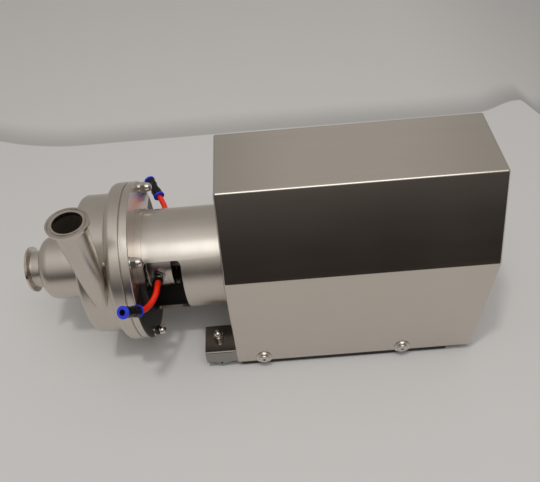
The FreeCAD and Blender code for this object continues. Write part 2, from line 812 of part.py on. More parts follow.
draw(keyway, box_steps("-key_width / 2", "impeller_shaft_radius - key_height / 2", "key_width / 2",
                       "impeller_shaft_radius + 1"))
push(pump_shaft, keyway, "key_length", cut=True)


def key(name, width, low, height, end, length):
    body = new_body(name)
    section = new_sketch(body, "YZ_Plane", end)
    draw(section, box_steps("-(%s) / 2" % width, low, "(%s) / 2" % width, "%s + %s" % (low, height)))
    push(body, section, length, backwards=True)
    return body


parts.append(key("impeller_key", "key_width", "impeller_shaft_radius - key_height / 2", "key_height",
                 "hub_rear - 6", "key_length"))
parts.append(key("shaft_key", "motor_key_width", "motor_shaft_radius - 4", "motor_key_height",
                 "-5", "motor_key_length"))

clamp = new_body("shaft_clamp_ring")
parts.append(clamp)
turned(clamp, [
    ("-22 - clamp_length", "sleeve_radius + running_fit"),
    ("-22 - clamp_length", "clamp_radius - edge_break"),
    ("-22 - clamp_length + edge_break", "clamp_radius"),
    ("-22 - edge_break", "clamp_radius"),
    ("-22", "clamp_radius - edge_break"),
    ("-22", "sleeve_radius + running_fit"),
])
split = new_sketch(clamp, "YZ_Plane", "-21")
draw(split, box_steps("-1", "-clamp_radius - 1", "1", "0"))
push(clamp, split, "clamp_length + 2", cut=True)

# Semi-open impeller: a disc and hub with swept-back vanes that get lower towards the rim.
impeller = new_body("impeller")
parts.append(impeller)
turned(impeller, [
    ("hub_front", "impeller_shaft_radius + running_fit"),
    ("hub_front", "impeller_hub_radius - 2"),
    ("hub_front + 2", "impeller_hub_radius"),
    ("disc_front - 10", "impeller_hub_radius"),
    ("disc_front", "impeller_hub_radius + 10", "10", 1),
    ("disc_front", "impeller_radius"),
    ("hub_rear", "impeller_radius"),
    ("hub_rear", "impeller_shaft_radius + running_fit"),
])


def vane_spot(half_thickness, angle):
    radius = "(vane_arc %s vane_thickness / 2)" % half_thickness
    return ("%s * cos(%d)" % (radius, angle), "vane_arc_offset + %s * sin(%d)" % (radius, angle))


vane = new_sketch(impeller, "YZ_Plane", "disc_front + 1")
draw(vane, [
    vane_spot("+", -62),
    vane_spot("+", 42) + ("vane_arc + vane_thickness / 2", 1),
    vane_spot("-", 42),
    vane_spot("-", -62) + ("vane_arc - vane_thickness / 2", -1),
])
around(impeller, push(impeller, vane, "vane_eye_height + 1", backwards=True), "vane_count")
turned(impeller, [
    ("disc_front - vane_eye_height - 1", "eye_radius"),
    ("disc_front - vane_eye_height", "eye_radius"),
    ("disc_front - vane_rim_height", "impeller_radius"),
    ("disc_front + 2", "impeller_radius"),
    ("disc_front + 2", "impeller_radius + 40"),
    ("disc_front - vane_eye_height - 1", "impeller_radius + 40"),
], cut=True)
keyway = new_sketch(impeller, "YZ_Plane", "hub_rear + 1")
draw(keyway, box_steps("-key_width / 2 - running_fit", "0", "key_width / 2 + running_fit",
                       "impeller_shaft_radius + key_height / 2 + 0.3"))
push(impeller, keyway, "impeller_length + 2", cut=True)

impeller_nut = domed_nut("impeller_nut", "motor_face + hub_front", "0", "axis_height", "impeller_nut_flats",
                         "7", "impeller_nut_length", "11", "thread_radius", "impeller_nut_length - 5")
bind_turn(impeller_nut, vector(0, 1, 0), "-90")
parts.append(impeller_nut)

# Flush fittings: a hexagon adapter and tube socket screwed into each port.
for name, tilt in (("flush_fitting_front", "90 - port_angle"), ("flush_fitting_rear", "port_angle - 90")):
    fitting = new_body(name, "motor_face + port_x")
    parts.append(fitting)
    turned(fitting, box_steps("0", "port_floor", "port_thread_radius", "hex_start + 1"), axis="V_Axis")
    hexagon = new_sketch(fitting, "XY_Plane", "hex_start")
    draw(hexagon, hexagon_steps("fitting_flats"))
    push(fitting, hexagon, "fitting_hex_length")
    turned(fitting, [
        ("0", "barrel_start - 1"),
        ("fitting_barrel_radius", "barrel_start - 1"),
        ("fitting_barrel_radius", "rim_start"),
        ("fitting_rim_radius", "rim_start"),
        ("fitting_rim_radius", "fitting_end"),
        ("0", "fitting_end"),
    ], axis="V_Axis")
    turned(fitting, [
        ("0", "port_floor - 1"),
        ("tube_radius - 1.5", "port_floor - 1"),
        ("tube_radius - 1.5", "fitting_end - tube_seat"),
        ("tube_radius + tube_fit", "fitting_end - tube_seat"),
        ("tube_radius + tube_fit", "fitting_end + 1"),
        ("0", "fitting_end + 1"),
    ], cut=True, axis="V_Axis")
    bind_turn(fitting, vector(1, 0, 0), tilt)

# The routes of the flush tubes about the pump axis, from the floor of each fitting to its union.
# Each union starts 2.5 mm before the last point and lies along the last run.
routes = {
    "front": [
        (-103, -48.4, 12.5), (-103, -61.5, 15.9), (-103.5, -75.1, 15.3), (-107.8, -88.1, 14.4),
        (-112.7, -100.1, 17.2), (-117.3, -110.2, 23.5), (-121.1, -117.5, 32.3),
    ],
    "rear": [
        (-103, 48.4, 12.5), (-103, 60.3, 15.6), (-99.4, 71.8, 18.9), (-99.6, 83, 21.8),
        (-103.6, 93.3, 24.8), (-109.3, 104.3, 27.5),
    ],
}


def bent_path(spots):
    """Straight runs joined by tangent arcs, each 0.45 of the shorter run beside it."""
    points = [vector(*spot) for spot in spots]
    edges = []
    radii = []
    start = points[0]
    for before, corner, after in zip(points, points[1:], points[2:]):
        back = (before - corner).normalize()
        ahead = (after - corner).normalize()
        reach = 0.45 * min(corner.distanceToPoint(before), corner.distanceToPoint(after))
        half_turn = (math.pi - back.getAngle(ahead)) / 2
        radius = reach / math.tan(half_turn)
        inward = (back + ahead).normalize()
        middle = corner + inward * (radius / math.cos(half_turn) - radius)
        first, last = corner + back * reach, corner + ahead * reach
        edges += [Part.LineSegment(start, first).toShape(), Part.Arc(first, middle, last).toShape()]
        radii.append(radius)
        start = last
    edges.append(Part.LineSegment(start, points[-1]).toShape())
    return Part.Wire(edges), radii


tubes = {}
for side, spots in routes.items():
    path, radii = bent_path(spots)
    print("flush tube", side, "bend radii", " ".join("%.1f" % radius for radius in radii))
    start, following = vector(*spots[0]), vector(*spots[1])
    rim = Part.Wire(Part.makeCircle(number("tube_radius"), start, following - start))
    tube = doc.addObject("Part::Feature", "flush_tube_" + side)
    tube.Label = "flush_tube_" + side
    tube.Shape = path.makePipeShell([rim], True, False)
    section = math.pi * number("tube_radius") ** 2
    print("volume over section times length: %.4f" % (tube.Shape.Volume / section / path.Length))
    tube.Placement = FreeCAD.Placement(vector(number("motor_face"), 0, number("axis_height")), FreeCAD.Rotation())
    parts.append(tube)


# Push-in unions: a black body with a sliding release collar in each end.
def union_part(name, side, turned_about=False):
    """A body whose own Z axis lies along the union, starting at either end."""
    before, end = (vector(*spot) for spot in routes[side][-2:])
    along = (end - before).normalize()
    start = end - along * 2.5
    if turned_about:
        start = start + along * number("union_length")
        along = along * -1
    body = new_body(name, "motor_face + (%.3f)" % start.x, "%.3f" % start.y, "axis_height + (%.3f)" % start.z)
    body.Placement = FreeCAD.Placement(body.Placement.Base, FreeCAD.Rotation(vector(0, 0, 1), along))
    return body


union_gap = "release_length + release_travel"
union_socket = "release_length + release_sleeve_length + 2"
for side in routes:
    union = union_part("union_body_" + side, side)
    parts.append(union)
    turned(union, [
        ("0", union_gap),
        ("union_end_radius", union_gap),
        ("union_end_radius", union_gap + " + union_end_length"),
        ("union_waist_radius", union_gap + " + union_end_length + 1.5"),
        ("union_waist_radius", "union_length - (%s) - union_end_length - 1.5" % union_gap),
        ("union_end_radius", "union_length - (%s) - union_end_length" % union_gap),
        ("union_end_radius", "union_length - (%s)" % union_gap),
        ("0", "union_length - (%s)" % union_gap),
    ], axis="V_Axis")
    turned(union, [
        ("0", union_gap + " - 1"),
        ("release_sleeve_radius + running_fit", union_gap + " - 1"),
        ("release_sleeve_radius + running_fit", union_socket),
        ("tube_radius - 1", union_socket),
        ("tube_radius - 1", "union_length - (%s)" % union_socket),
        ("release_sleeve_radius + running_fit", "union_length - (%s)" % union_socket),
        ("release_sleeve_radius + running_fit", "union_length - (%s) + 1" % union_gap),
        ("0", "union_length - (%s) + 1" % union_gap),
    ], cut=True, axis="V_Axis")
    for end, far in (("inner", False), ("outer", True)):
        collar = union_part("release_collar_%s_%s" % (side, end), side, far)
        parts.append(collar)
        turned(collar, [
            ("tube_radius + tube_fit", "0"),
            ("release_radius - edge_break", "0"),
            ("release_radius", "edge_break"),
            ("release_radius", "release_length"),
            ("release_sleeve_radius", "release_length"),
            ("release_sleeve_radius", "release_length + release_sleeve_length"),
            ("tube_radius + tube_fit", "release_length + release_sleeve_length"),
        ], axis="V_Axis")

# Motor: shields, finned housing, core, windings, rotor, bearings, fan and terminal box.
front_shield = new_body("motor_front_shield")
parts.append(front_shield)
turned(front_shield, [
    ("-pilot_length", "pilot_radius - 8"),
    ("-pilot_length", "pilot_radius"),
    ("0", "pilot_radius"),
    ("0", "shield_radius"),
    ("shield_rim_length", "shield_radius"),
    ("shield_rim_length + 4", "housing_radius - 2"),
    ("housing_start", "housing_radius - 2"),
    ("housing_start", "housing_inside - running_fit"),
    ("housing_start + 4", "housing_inside - running_fit"),
    ("housing_start + 4", "housing_inside - 5"),
    ("housing_start - 6", "housing_inside - 5"),
    ("bearing_inset + bearing_length + 2", "bearing_radius + 8"),
    ("bearing_inset + bearing_length", "bearing_radius + 8"),
    ("bearing_inset + bearing_length", "bearing_radius + running_fit"),
    ("bearing_inset", "bearing_radius + running_fit"),
    ("bearing_inset", "bearing_bore + 1.5"),
    ("0", "bearing_bore + 1.5"),
    ("0", "pilot_radius - 8"),
])
tapping = new_sketch(front_shield, "YZ_Plane")
circle(tapping, "screw_circle * cos(45)", "screw_circle * sin(45)", "screw_radius + running_fit")
around(front_shield, push(front_shield, tapping, "screw_grip + 1", cut=True, backwards=True), "4")

housing = new_body("stator_housing")
parts.append(housing)
turned(housing, ring_steps("housing_start", "housing_end", "housing_inside", "housing_radius"))
fin = new_sketch(housing, "YZ_Plane", "housing_start")
draw(fin, box_steps("-fin_thickness / 2", "housing_radius - 1", "fin_thickness / 2", "housing_radius + fin_height"))
around(housing, push(housing, fin, "housing_length"), "fin_count")
for side in (-1, 1):
    foot = new_sketch(housing, "YZ_Plane", "foot_first - 28")
    draw(foot, [("%d * (%s)" % (side, y), z) for y, z in (
        ("foot_half_gauge - 20", "-motor_centre_height"),
        ("foot_edge", "-motor_centre_height"),
        ("foot_edge", "foot_thickness - motor_centre_height"),
        ("foot_half_gauge - 9", "foot_thickness - motor_centre_height"),
        ("foot_half_gauge - 12", "-sqrt(housing_radius * housing_radius - "
         "(foot_half_gauge - 12) * (foot_half_gauge - 12))"),
        ("foot_half_gauge - 20", "1 - sqrt(housing_radius * housing_radius - "
         "(foot_half_gauge - 20) * (foot_half_gauge - 20))"),
    )])
    push(housing, foot, "foot_spacing + 46")
pad = new_sketch(housing, "XY_Plane", "box_seat")
draw(pad, box_steps("box_start", "-box_width / 2", "box_start + box_length", "box_width / 2"))
push(housing, pad, "box_seat - 60", backwards=True)
turned(housing, box_steps("housing_start - 1", "0", "housing_end + 1", "housing_inside"), cut=True)
bolt_hole = new_sketch(housing, "XY_Plane", "-motor_centre_height")
for x in ("foot_first", "foot_first + foot_spacing"):
    for y in ("foot_half_gauge", "-foot_half_gauge"):
        circle(bolt_hole, x, y, "foot_bolt_radius + 1")
push(housing, bolt_hole, "foot_thickness + 1", cut=True, backwards=True)

core = new_body("stator_core")
parts.append(core)
turned(core, ring_steps("core_start", "core_end", "core_radius", "housing_inside - running_fit"))
windings = new_body("stator_windings")
parts.append(windings)
turned(windings, ring_steps("core_start - winding_reach", "core_start", "core_radius + 6", "housing_inside - 5"))
turned(windings, ring_steps("core_end", "core_end + winding_reach", "core_radius + 6", "housing_inside - 5"))
rotor = new_body("rotor_cage")
parts.append(rotor)
turned(rotor, [
    ("core_start - rotor_ring_length", "24"),
    ("core_start - rotor_ring_length", "rotor_radius - 2"),
    ("core_start", "rotor_radius - 2"),
    ("core_start", "rotor_radius"),
    ("core_end", "rotor_radius"),
    ("core_end", "rotor_radius - 2"),
    ("core_end + rotor_ring_length", "rotor_radius - 2"),
    ("core_end + rotor_ring_length", "24"),
    ("core_end", "24"),
    ("core_end", "motor_shaft_radius + 3"),
    ("core_start", "motor_shaft_radius + 3"),
    ("core_start", "24"),
])

motor_shaft = new_body("motor_shaft")
parts.append(motor_shaft)
journal = "bearing_bore - 0.02"
turned(motor_shaft, [
    ("-motor_shaft_reach", "0"),
    ("-motor_shaft_reach", "motor_shaft_radius - edge_break"),
    ("edge_break - motor_shaft_reach", "motor_shaft_radius"),
    ("bearing_inset - 2", "motor_shaft_radius"),
    ("bearing_inset - 2", journal),
    ("bearing_inset + bearing_length", journal),
    ("bearing_inset + bearing_length", "motor_shaft_radius + 3 - 0.02"),
    ("rear_bearing", "motor_shaft_radius + 3 - 0.02"),
    ("rear_bearing", journal),
    ("rear_shield_end + 1", journal),
    ("rear_shield_end + 1", "motor_shaft_radius - 2"),
    ("fan_start + fan_length", "motor_shaft_radius - 2"),
    ("fan_start + fan_length", "0"),
])
keyway = new_sketch(motor_shaft, "YZ_Plane", "-5")
draw(keyway, box_steps("-motor_key_width / 2", "motor_shaft_radius - 4", "motor_key_width / 2",
                       "motor_shaft_radius + 1"))
push(motor_shaft, keyway, "motor_key_length", cut=True)

# Deep-groove ball bearings: rings with a raceway each, and the balls in their cage.
raceway = "(ball_radius + running_fit)"
for end, start in (("front", "bearing_inset"), ("rear", "rear_bearing")):
    middle = start + " + bearing_length / 2"
    for name, land, back, side in (
        ("outer_race", "ball_circle + 3", "bearing_radius", 1),
        ("inner_race", "ball_circle - 3", "bearing_bore", -1),
    ):
        half = "sqrt(%s * %s - 9)" % (raceway, raceway)
        race = new_body("%s_%s" % (end, name))
        parts.append(race)
        turned(race, [
            (start, back),
            (start + " + bearing_length", back),
            (start + " + bearing_length", land),
            ("%s + %s" % (middle, half), land),
            ("%s - %s" % (middle, half), land, raceway, side),
            (start, land),
        ])
    cage = new_body(end + "_ball_cage")
    parts.append(cage)
    turned(cage, ring_steps(middle + " - ball_radius - 0.5", middle + " + ball_radius + 0.5", "ball_circle - 0.9",
                            "ball_circle + 0.9"))
    ball = new_sketch(cage, "XZ_Plane", across=middle, up="ball_circle")
    draw(ball, [
        ("ball_radius", "0"),
        ("0", "ball_radius", "ball_radius", 1),
        ("-ball_radius", "0", "ball_radius", 1),
    ])
    around(cage, spin(cage, ball), "ball_count")

rear_shield = new_body("motor_rear_shield")
parts.append(rear_shield)
turned(rear_shield, [
    ("housing_end - 4", "housing_inside - 5"),
    ("housing_end - 4", "housing_inside - running_fit"),
    ("housing_end", "housing_inside - running_fit"),
    ("housing_end", "housing_radius - 2"),
    ("fan_cover_start", "housing_radius - 2"),
    ("fan_cover_start", "fan_cover_radius - fan_cover_wall - running_fit"),
    ("fan_cover_start + 8", "fan_cover_radius - fan_cover_wall - running_fit"),
    ("fan_cover_start + 8", "housing_radius - 6"),
    ("rear_shield_end", "housing_radius - 10"),
    ("rear_shield_end", "bearing_bore + 1"),
    ("rear_bearing + bearing_length", "bearing_bore + 1"),
    ("rear_bearing + bearing_length", "bearing_radius + running_fit"),
    ("rear_bearing", "bearing_radius + running_fit"),
    ("rear_bearing", "bearing_radius + 8"),
    ("rear_bearing + 6", "bearing_radius + 8"),
    ("rear_bearing + 6", "housing_inside - 5"),
])

fan = new_body("cooling_fan")
parts.append(fan)
turned(fan, [
    ("fan_start", "motor_shaft_radius - 2 + running_fit"),
    ("fan_start", "fan_radius - 10"),
    ("fan_start + 2.5", "fan_radius - 10"),
    ("fan_start + 2.5", "motor_shaft_radius + 6"),
    ("fan_start + fan_length", "motor_shaft_radius + 4"),
    ("fan_start + fan_length", "motor_shaft_radius - 2 + running_fit"),
])
blade = new_sketch(fan, "YZ_Plane", "fan_start")
draw(blade, box_steps("-1.25", "motor_shaft_radius + 2", "1.25", "fan_radius"))
around(fan, push(fan, blade, "fan_length - 4"), "fan_blades")

fan_cover = new_body("fan_cover")
parts.append(fan_cover)
cover_round = "14"
turned(fan_cover, [
    ("fan_cover_start", "fan_cover_radius - fan_cover_wall"),
    ("fan_cover_start", "fan_cover_radius"),
    ("fan_cover_end - 14", "fan_cover_radius"),
    ("fan_cover_end", "fan_cover_radius - 14", cover_round, -1),
    ("fan_cover_end", "0"),
    ("fan_cover_end - fan_cover_wall", "0"),
    ("fan_cover_end - fan_cover_wall", "fan_cover_radius - 14"),
    ("fan_cover_end - 14", "fan_cover_radius - fan_cover_wall", "14 - fan_cover_wall", 1),
])
slot = new_sketch(fan_cover, "YZ_Plane", "fan_cover_end + 1")
draw(slot, box_steps("-4", "20", "4", "fan_cover_radius - 19"))
around(fan_cover, push(fan_cover, slot, "fan_cover_wall + 2", cut=True), "fan_slots")

terminal_box = new_body("terminal_box")
parts.append(terminal_box)
base = new_sketch(terminal_box, "XY_Plane", "box_seat")
draw(base, round_box_steps("box_start", "-box_width / 2", "box_start + box_length", "box_width / 2", "6"))
push(terminal_box, base, "box_height")
hollow = new_sketch(terminal_box, "XY_Plane", "box_top")
draw(hollow, round_box_steps("box_start + box_wall", "box_wall - box_width / 2",
                             "box_start + box_length - box_wall", "box_width / 2 - box_wall", "3"))
push(terminal_box, hollow, "box_height - box_wall", cut=True)
gland_hole = new_sketch(terminal_box, "YZ_Plane", "box_start + box_length + 1")
circle(gland_hole, "0", "box_seat + 22", "gland_radius - 3 + running_fit")
push(terminal_box, gland_hole, "box_wall + 2", cut=True)
lid = new_body("terminal_box_lid")
parts.append(lid)
plate = new_sketch(lid, "XY_Plane", "box_top")
draw(plate, round_box_steps("box_start", "-box_width / 2", "box_start + box_length", "box_width / 2", "6"))
push(lid, plate, "lid_height")
block = new_body("terminal_block")
parts.append(block)
plinth = new_sketch(block, "XY_Plane", "box_seat + box_wall")
draw(plinth, box_steps("box_start + block_inset", "-block_half_width",
                       "box_start + box_length - block_inset", "block_half_width"))
push(block, plinth, "block_height")
posts = new_sketch(block, "XY_Plane", "box_seat + box_wall + block_height")
for x in ("- post_pitch", "", "+ post_pitch"):
    for y in ("-post_half_gauge", "post_half_gauge"):
        circle(posts, "box_start + box_length / 2 " + x, y, "post_radius")
push(block, posts, "post_length")
gland = new_body("cable_gland")
parts.append(gland)
gland_height = "axis_height + box_seat + 22"
bind(gland, "Placement.Base.z", gland_height)
box_end = "box_start + box_length"
turned(gland, [
    (box_end + " - box_wall - 6", "gland_radius - 6"),
    (box_end + " - box_wall - 6", "gland_radius - 3"),
    (box_end, "gland_radius - 3"),
    (box_end, "gland_radius"),
    (box_end + " + 6", "gland_radius"),
    (box_end + " + 6", "gland_radius - 1"),
    (box_end + " + 16", "gland_radius - 1"),
    (box_end + " + 21", "gland_radius - 4"),
    (box_end + " + 21", "gland_radius - 6"),
])

# Foot rails: two folded channels, open below, that carry the motor and reach out under the lantern.
shroud_screw_spots = ("shroud_screw_first", "shroud_screw_first + shroud_screw_spacing")
for name, side in (("foot_rail_front", -1), ("foot_rail_rear", 1)):
    rail = new_body(name, z="0")
    parts.append(rail)

    def over(y):
        return "%d * (%s)" % (side, y)

    bend = "1.5 * sheet_thickness"
    inner_bend = "0.5 * sheet_thickness"
    channel = new_sketch(rail, "YZ_Plane", "rail_start")
    draw(channel, [
        (over("rail_outer"), "rail_lower_edge"),
        (over("rail_outer"), "rail_top - " + bend),
        (over("rail_outer - " + bend), "rail_top", bend, side),
        (over("rail_inner + " + bend), "rail_top"),
        (over("rail_inner"), "rail_top - " + bend, bend, side),
        (over("rail_inner"), "rail_lower_edge"),
        (over("rail_inner + sheet_thickness"), "rail_lower_edge"),
        (over("rail_inner + sheet_thickness"), "rail_top - " + bend),
        (over("rail_inner + " + bend), "rail_top - sheet_thickness", inner_bend, -side),
        (over("rail_outer - " + bend), "rail_top - sheet_thickness"),
        (over("rail_outer - sheet_thickness"), "rail_top - " + bend, inner_bend, -side),
        (over("rail_outer - sheet_thickness"), "rail_lower_edge"),
    ])
    push(rail, channel, "rail_length")
    flap = new_sketch(rail, "YZ_Plane", "rail_start")
    draw(flap, box_steps(over("rail_inner + sheet_thickness / 2"), "rail_lower_edge",
                         over("rail_outer - sheet_thickness / 2"), "rail_top - sheet_thickness / 2"))
    push(rail, flap, "sheet_thickness")
    flap_offset = "rail_outer - sheet_thickness" if side < 0 else "-rail_outer"
    lug = new_sketch(rail, "XZ_Plane", flap_offset)
    draw(lug, [
        ("lug_start", "rail_lower_edge + 1"),
        ("lug_start", "rail_lower_edge"),
        ("lug_start + lug_length / 3", "rail_lower_edge - lug_depth"),
        ("lug_start + lug_length", "rail_lower_edge"),
        ("lug_start + lug_length", "rail_lower_edge + 1"),
    ])
    push(rail, lug, "sheet_thickness")
    weld_nuts = new_sketch(rail, "XZ_Plane", "rail_outer - 8" if side < 0 else "-rail_outer")
    for spot in shroud_screw_spots:
        circle(weld_nuts, spot, "shroud_screw_height", "6.4")
    push(rail, weld_nuts, "8")
    flap_holes = new_sketch(rail, "XZ_Plane", "rail_outer + 1" if side < 0 else "9 - rail_outer")
    circle(flap_holes, "lug_start + lug_length / 3", "rail_lower_edge - lug_depth + 5", "lug_hole_radius")
    for spot in shroud_screw_spots:
        circle(flap_holes, spot, "shroud_screw_height", "screw_radius + running_fit")
    push(rail, flap_holes, "10", cut=True)
    top_holes = new_sketch(rail, "XY_Plane", "rail_top + 1")
    for spot in ("front_foot", "rear_foot"):
        circle(top_holes, spot, over("foot_stud_line"), "bolt_hole_radius")
    for spot in ("foot_first", "foot_first + foot_spacing"):
        circle(top_holes, spot, over("foot_half_gauge"), "foot_bolt_radius + 0.5")
    push(rail, top_holes, "sheet_thickness + 2", cut=True)

# Rubber feet under the rails, on studs that end in acorn nuts.
feet = []
foot_studs = new_body("foot_studs", z="0")
shanks = new_sketch(foot_studs, "XY_Plane", "12")
for spot in ("front_foot", "rear_foot"):
    for side in (-1, 1):
        y = "%d * foot_stud_line" % side
        circle(shanks, spot, y, "bolt_radius")
        foot = new_body("foot_%d" % len(feet), "motor_face + " + spot, y, "0")
        turned(foot, [
            ("0", "0"),
            ("rubber_radius", "0"),
            ("rubber_radius", "6"),
            ("rubber_radius - 2.5", "rail_top - sheet_thickness"),
            ("bolt_radius + running_fit", "rail_top - sheet_thickness"),
            ("bolt_radius + running_fit", "12"),
            ("0", "12"),
        ], axis="V_Axis")
        feet.append(foot)
        acorn_nuts.append(acorn_nut("foot_nut_%d" % len(feet), "motor_face + " + spot, y, "rail_top"))
push(foot_studs, shanks, "rail_top + stud_reach - 12")
parts += [foot_studs, group("rubber_feet", feet), group("acorn_nuts", acorn_nuts)]

# Hexagon bolts and nuts that hold the motor's feet to the rails.
foot_bolts = []
for x in ("foot_first", "foot_first + foot_spacing"):
    for y in ("foot_half_gauge", "-foot_half_gauge"):
        bolt = new_body("foot_bolt_%d" % len(foot_bolts), "motor_face + " + x, y, "rail_top - sheet_thickness")
        head = new_sketch(bolt, "XY_Plane", "-foot_bolt_head")
        draw(head, hexagon_steps("foot_bolt_flats"))
        push(bolt, head, "foot_bolt_head")
        shank = new_sketch(bolt, "XY_Plane", "-1")
        circle(shank, "0", "0", "foot_bolt_radius")
        push(bolt, shank, "sheet_thickness + foot_thickness + foot_bolt_reach")
        foot_bolts.append(bolt)
        nut = new_body("bolt_nut_%d" % len(foot_bolts), "motor_face + " + x, y, "rail_top + foot_thickness")
        hexagon = new_sketch(nut, "XY_Plane")
        draw(hexagon, hexagon_steps("foot_bolt_flats"))
        circle(hexagon, "0", "0", "foot_bolt_radius + running_fit")
        push(nut, hexagon, "foot_nut_length")
        foot_bolts.append(nut)
parts.append(group("motor_foot_bolts", foot_bolts))

# Shroud: one folded sheet with six sides, closed at both ends and open below.
shroud = new_body("shroud", z="0")
parts.append(shroud)
envelope = new_sketch(shroud, "YZ_Plane", "shroud_start")
draw(envelope, [
    ("shroud_half_width", "shroud_lower_edge"),
    ("shroud_half_width", "shroud_knee"),
    ("shroud_top_half_width", "shroud_top"),
    ("-shroud_top_half_width", "shroud_top"),
    ("-shroud_half_width", "shroud_knee"),
    ("-shroud_half_width", "shroud_lower_edge"),
])
folded = push(shroud, envelope, "shroud_length")
doc.recompute()
lowest = number("shroud_lower_edge") + 0.01
bends = ["Edge%d" % i for i, edge in enumerate(folded.Shape.Edges, 1)
         if any(vertex.Point.z > lowest for vertex in edge.Vertexes)]
rounding = shroud.newObject("PartDesign::Fillet", "shroud_bends")
rounding.Base = (folded, bends)
bind(rounding, "Radius", "shroud_bend")
slope = "atan((shroud_half_width - shroud_top_half_width) / (shroud_top - shroud_knee))"
inner_knee = "shroud_knee - shroud_sheet * tan(%s / 2)" % slope
inner_corner = "(shroud_top_half_width - shroud_sheet * tan(45 deg - %s / 2))" % slope
inner_side = "(shroud_half_width - shroud_sheet)"
hollow = new_sketch(shroud, "YZ_Plane", "shroud_end - shroud_sheet")
draw(hollow, [
    (inner_side, "shroud_lower_edge - 1"),
    (inner_side, inner_knee),
    (inner_corner, "shroud_top - shroud_sheet"),
    ("-" + inner_corner, "shroud_top - shroud_sheet"),
    ("-" + inner_side, inner_knee),
    ("-" + inner_side, "shroud_lower_edge - 1"),
])
push(shroud, hollow, "shroud_length - 2 * shroud_sheet", cut=True)
throat = "(lantern_radius + shroud_gap)"
mouth = new_sketch(shroud, "YZ_Plane", "shroud_start + shroud_sheet + 1")
draw(mouth, [
    ("-" + inner_side, "shroud_lower_edge - 1"),
    (inner_side, "shroud_lower_edge - 1"),
    (inner_side, "rail_top + 0.5"),
    (throat, "rail_top + 0.5"),
    (throat, "axis_height"),
    ("0", "axis_height + " + throat, throat, 1),
    ("-" + throat, "axis_height", throat, 1),
    ("-" + throat, "rail_top + 0.5"),
    ("-" + inner_side, "rail_top + 0.5"),
])
push(shroud, mouth, "shroud_sheet + 2", cut=True)
screw_holes = new_sketch(shroud, "XZ_Plane")
for spot in shroud_screw_spots:
    circle(screw_holes, spot, "shroud_screw_height", "screw_radius + 0.25")
push(shroud, screw_holes, "2 * shroud_half_width + 10", cut=True, both_ways=True)
cable_hole = new_sketch(shroud, "YZ_Plane", "shroud_end + 1")
circle(cable_hole, "shroud_half_width - 30", "shroud_lower_edge + 38", "grommet_radius")
push(shroud, cable_hole, "shroud_sheet + 2", cut=True)
vents = new_sketch(shroud, "YZ_Plane", "shroud_end + 1")
lowest_slot = "axis_height - slot_pitch * (slot_rows - 1) / 2 "
for low, high in (("-slot_length - 5", "-5"), ("5", "slot_length + 5")):
    draw(vents, round_box_steps(low, lowest_slot + "- slot_height / 2", high, lowest_slot + "+ slot_height / 2",
                                "slot_height / 2.2"))
vents = push(shroud, vents, "shroud_sheet + 2", cut=True)
doc.recompute()
rows = shroud.newObject("PartDesign::LinearPattern", "shroud_rows")
rows.Originals = [vents]
rows.Direction = (origin_part(shroud, "Z_Axis"), [""])
bind(rows, "Length", "slot_pitch * (slot_rows - 1)")
bind(rows, "Occurrences", "slot_rows")
shroud.Tip = rows

# Domed screws on cup washers hold the shroud to the rails.
shroud_screws, cups = [], []
for spot in shroud_screw_spots:
    for side in (-1, 1):
        across = "%d * (shroud_half_width%s)"
        cup = new_body("cup_%d" % len(cups), "motor_face + " + spot, across % (side, ""), "shroud_screw_height")
        turned(cup, [
            ("screw_radius + 0.25", "0"),
            ("cup_radius", "0"),
            ("cup_radius - 1.2", "cup_length", "cup_length * 1.1", 1),
            ("screw_radius + 0.25", "cup_length"),
        ], axis="V_Axis")
        bind_turn(cup, vector(1, 0, 0), "%d * 90" % -side)
        cups.append(cup)
        screw = new_body("shroud_screw_%d" % len(shroud_screws), "motor_face + " + spot,
                         across % (side, " + cup_length"), "shroud_screw_height")
        turned(screw, [
            ("0", "-14"),
            ("screw_radius", "-14"),
            ("screw_radius", "0"),
            ("dome_radius", "0"),
            ("dome_radius", "1"),
            ("0", "dome_length",
             "(dome_radius * dome_radius + (dome_length - 1) * (dome_length - 1)) / 2 / (dome_length - 1)", 1),
        ], axis="V_Axis")
        bind_turn(screw, vector(1, 0, 0), "%d * 90" % -side)
        shroud_screws.append(screw)
parts += [group("shroud_screws", shroud_screws), group("cup_washers", cups)]

grommet = new_body("cable_grommet", y="shroud_half_width - 30", z="shroud_lower_edge + 38")
parts.append(grommet)
turned(grommet, [
    ("shroud_end - shroud_sheet - grommet_lip", "grommet_radius - grommet_lip"),
    ("shroud_end - shroud_sheet - grommet_lip", "grommet_radius + grommet_lip"),
    ("shroud_end - shroud_sheet", "grommet_radius + grommet_lip"),
    ("shroud_end - shroud_sheet", "grommet_radius"),
    ("shroud_end", "grommet_radius"),
    ("shroud_end", "grommet_radius + grommet_lip"),
    ("grommet_end", "grommet_radius + 1"),
    ("grommet_end", "grommet_radius - grommet_lip"),
])

doc.recompute()
faults = [thing.Label for thing in doc.Objects if {"Invalid", "Error"} & set(thing.State)]
faults += [part.Label for part in parts if part.Shape.isNull() or not part.Shape.isValid()]
if faults:
    raise RuntimeError("these objects failed: " + ", ".join(faults))

os.makedirs("parts", exist_ok=True)
for part in parts:
    part.Shape.exportStep("parts/%s.step" % part.Label)
    print("%-24s %2d solids %12.1f mm3" % (part.Label, len(part.Shape.Solids), part.Shape.Volume))
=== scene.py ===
import math

import bmesh
import bpy
from mathutils import Matrix, Vector


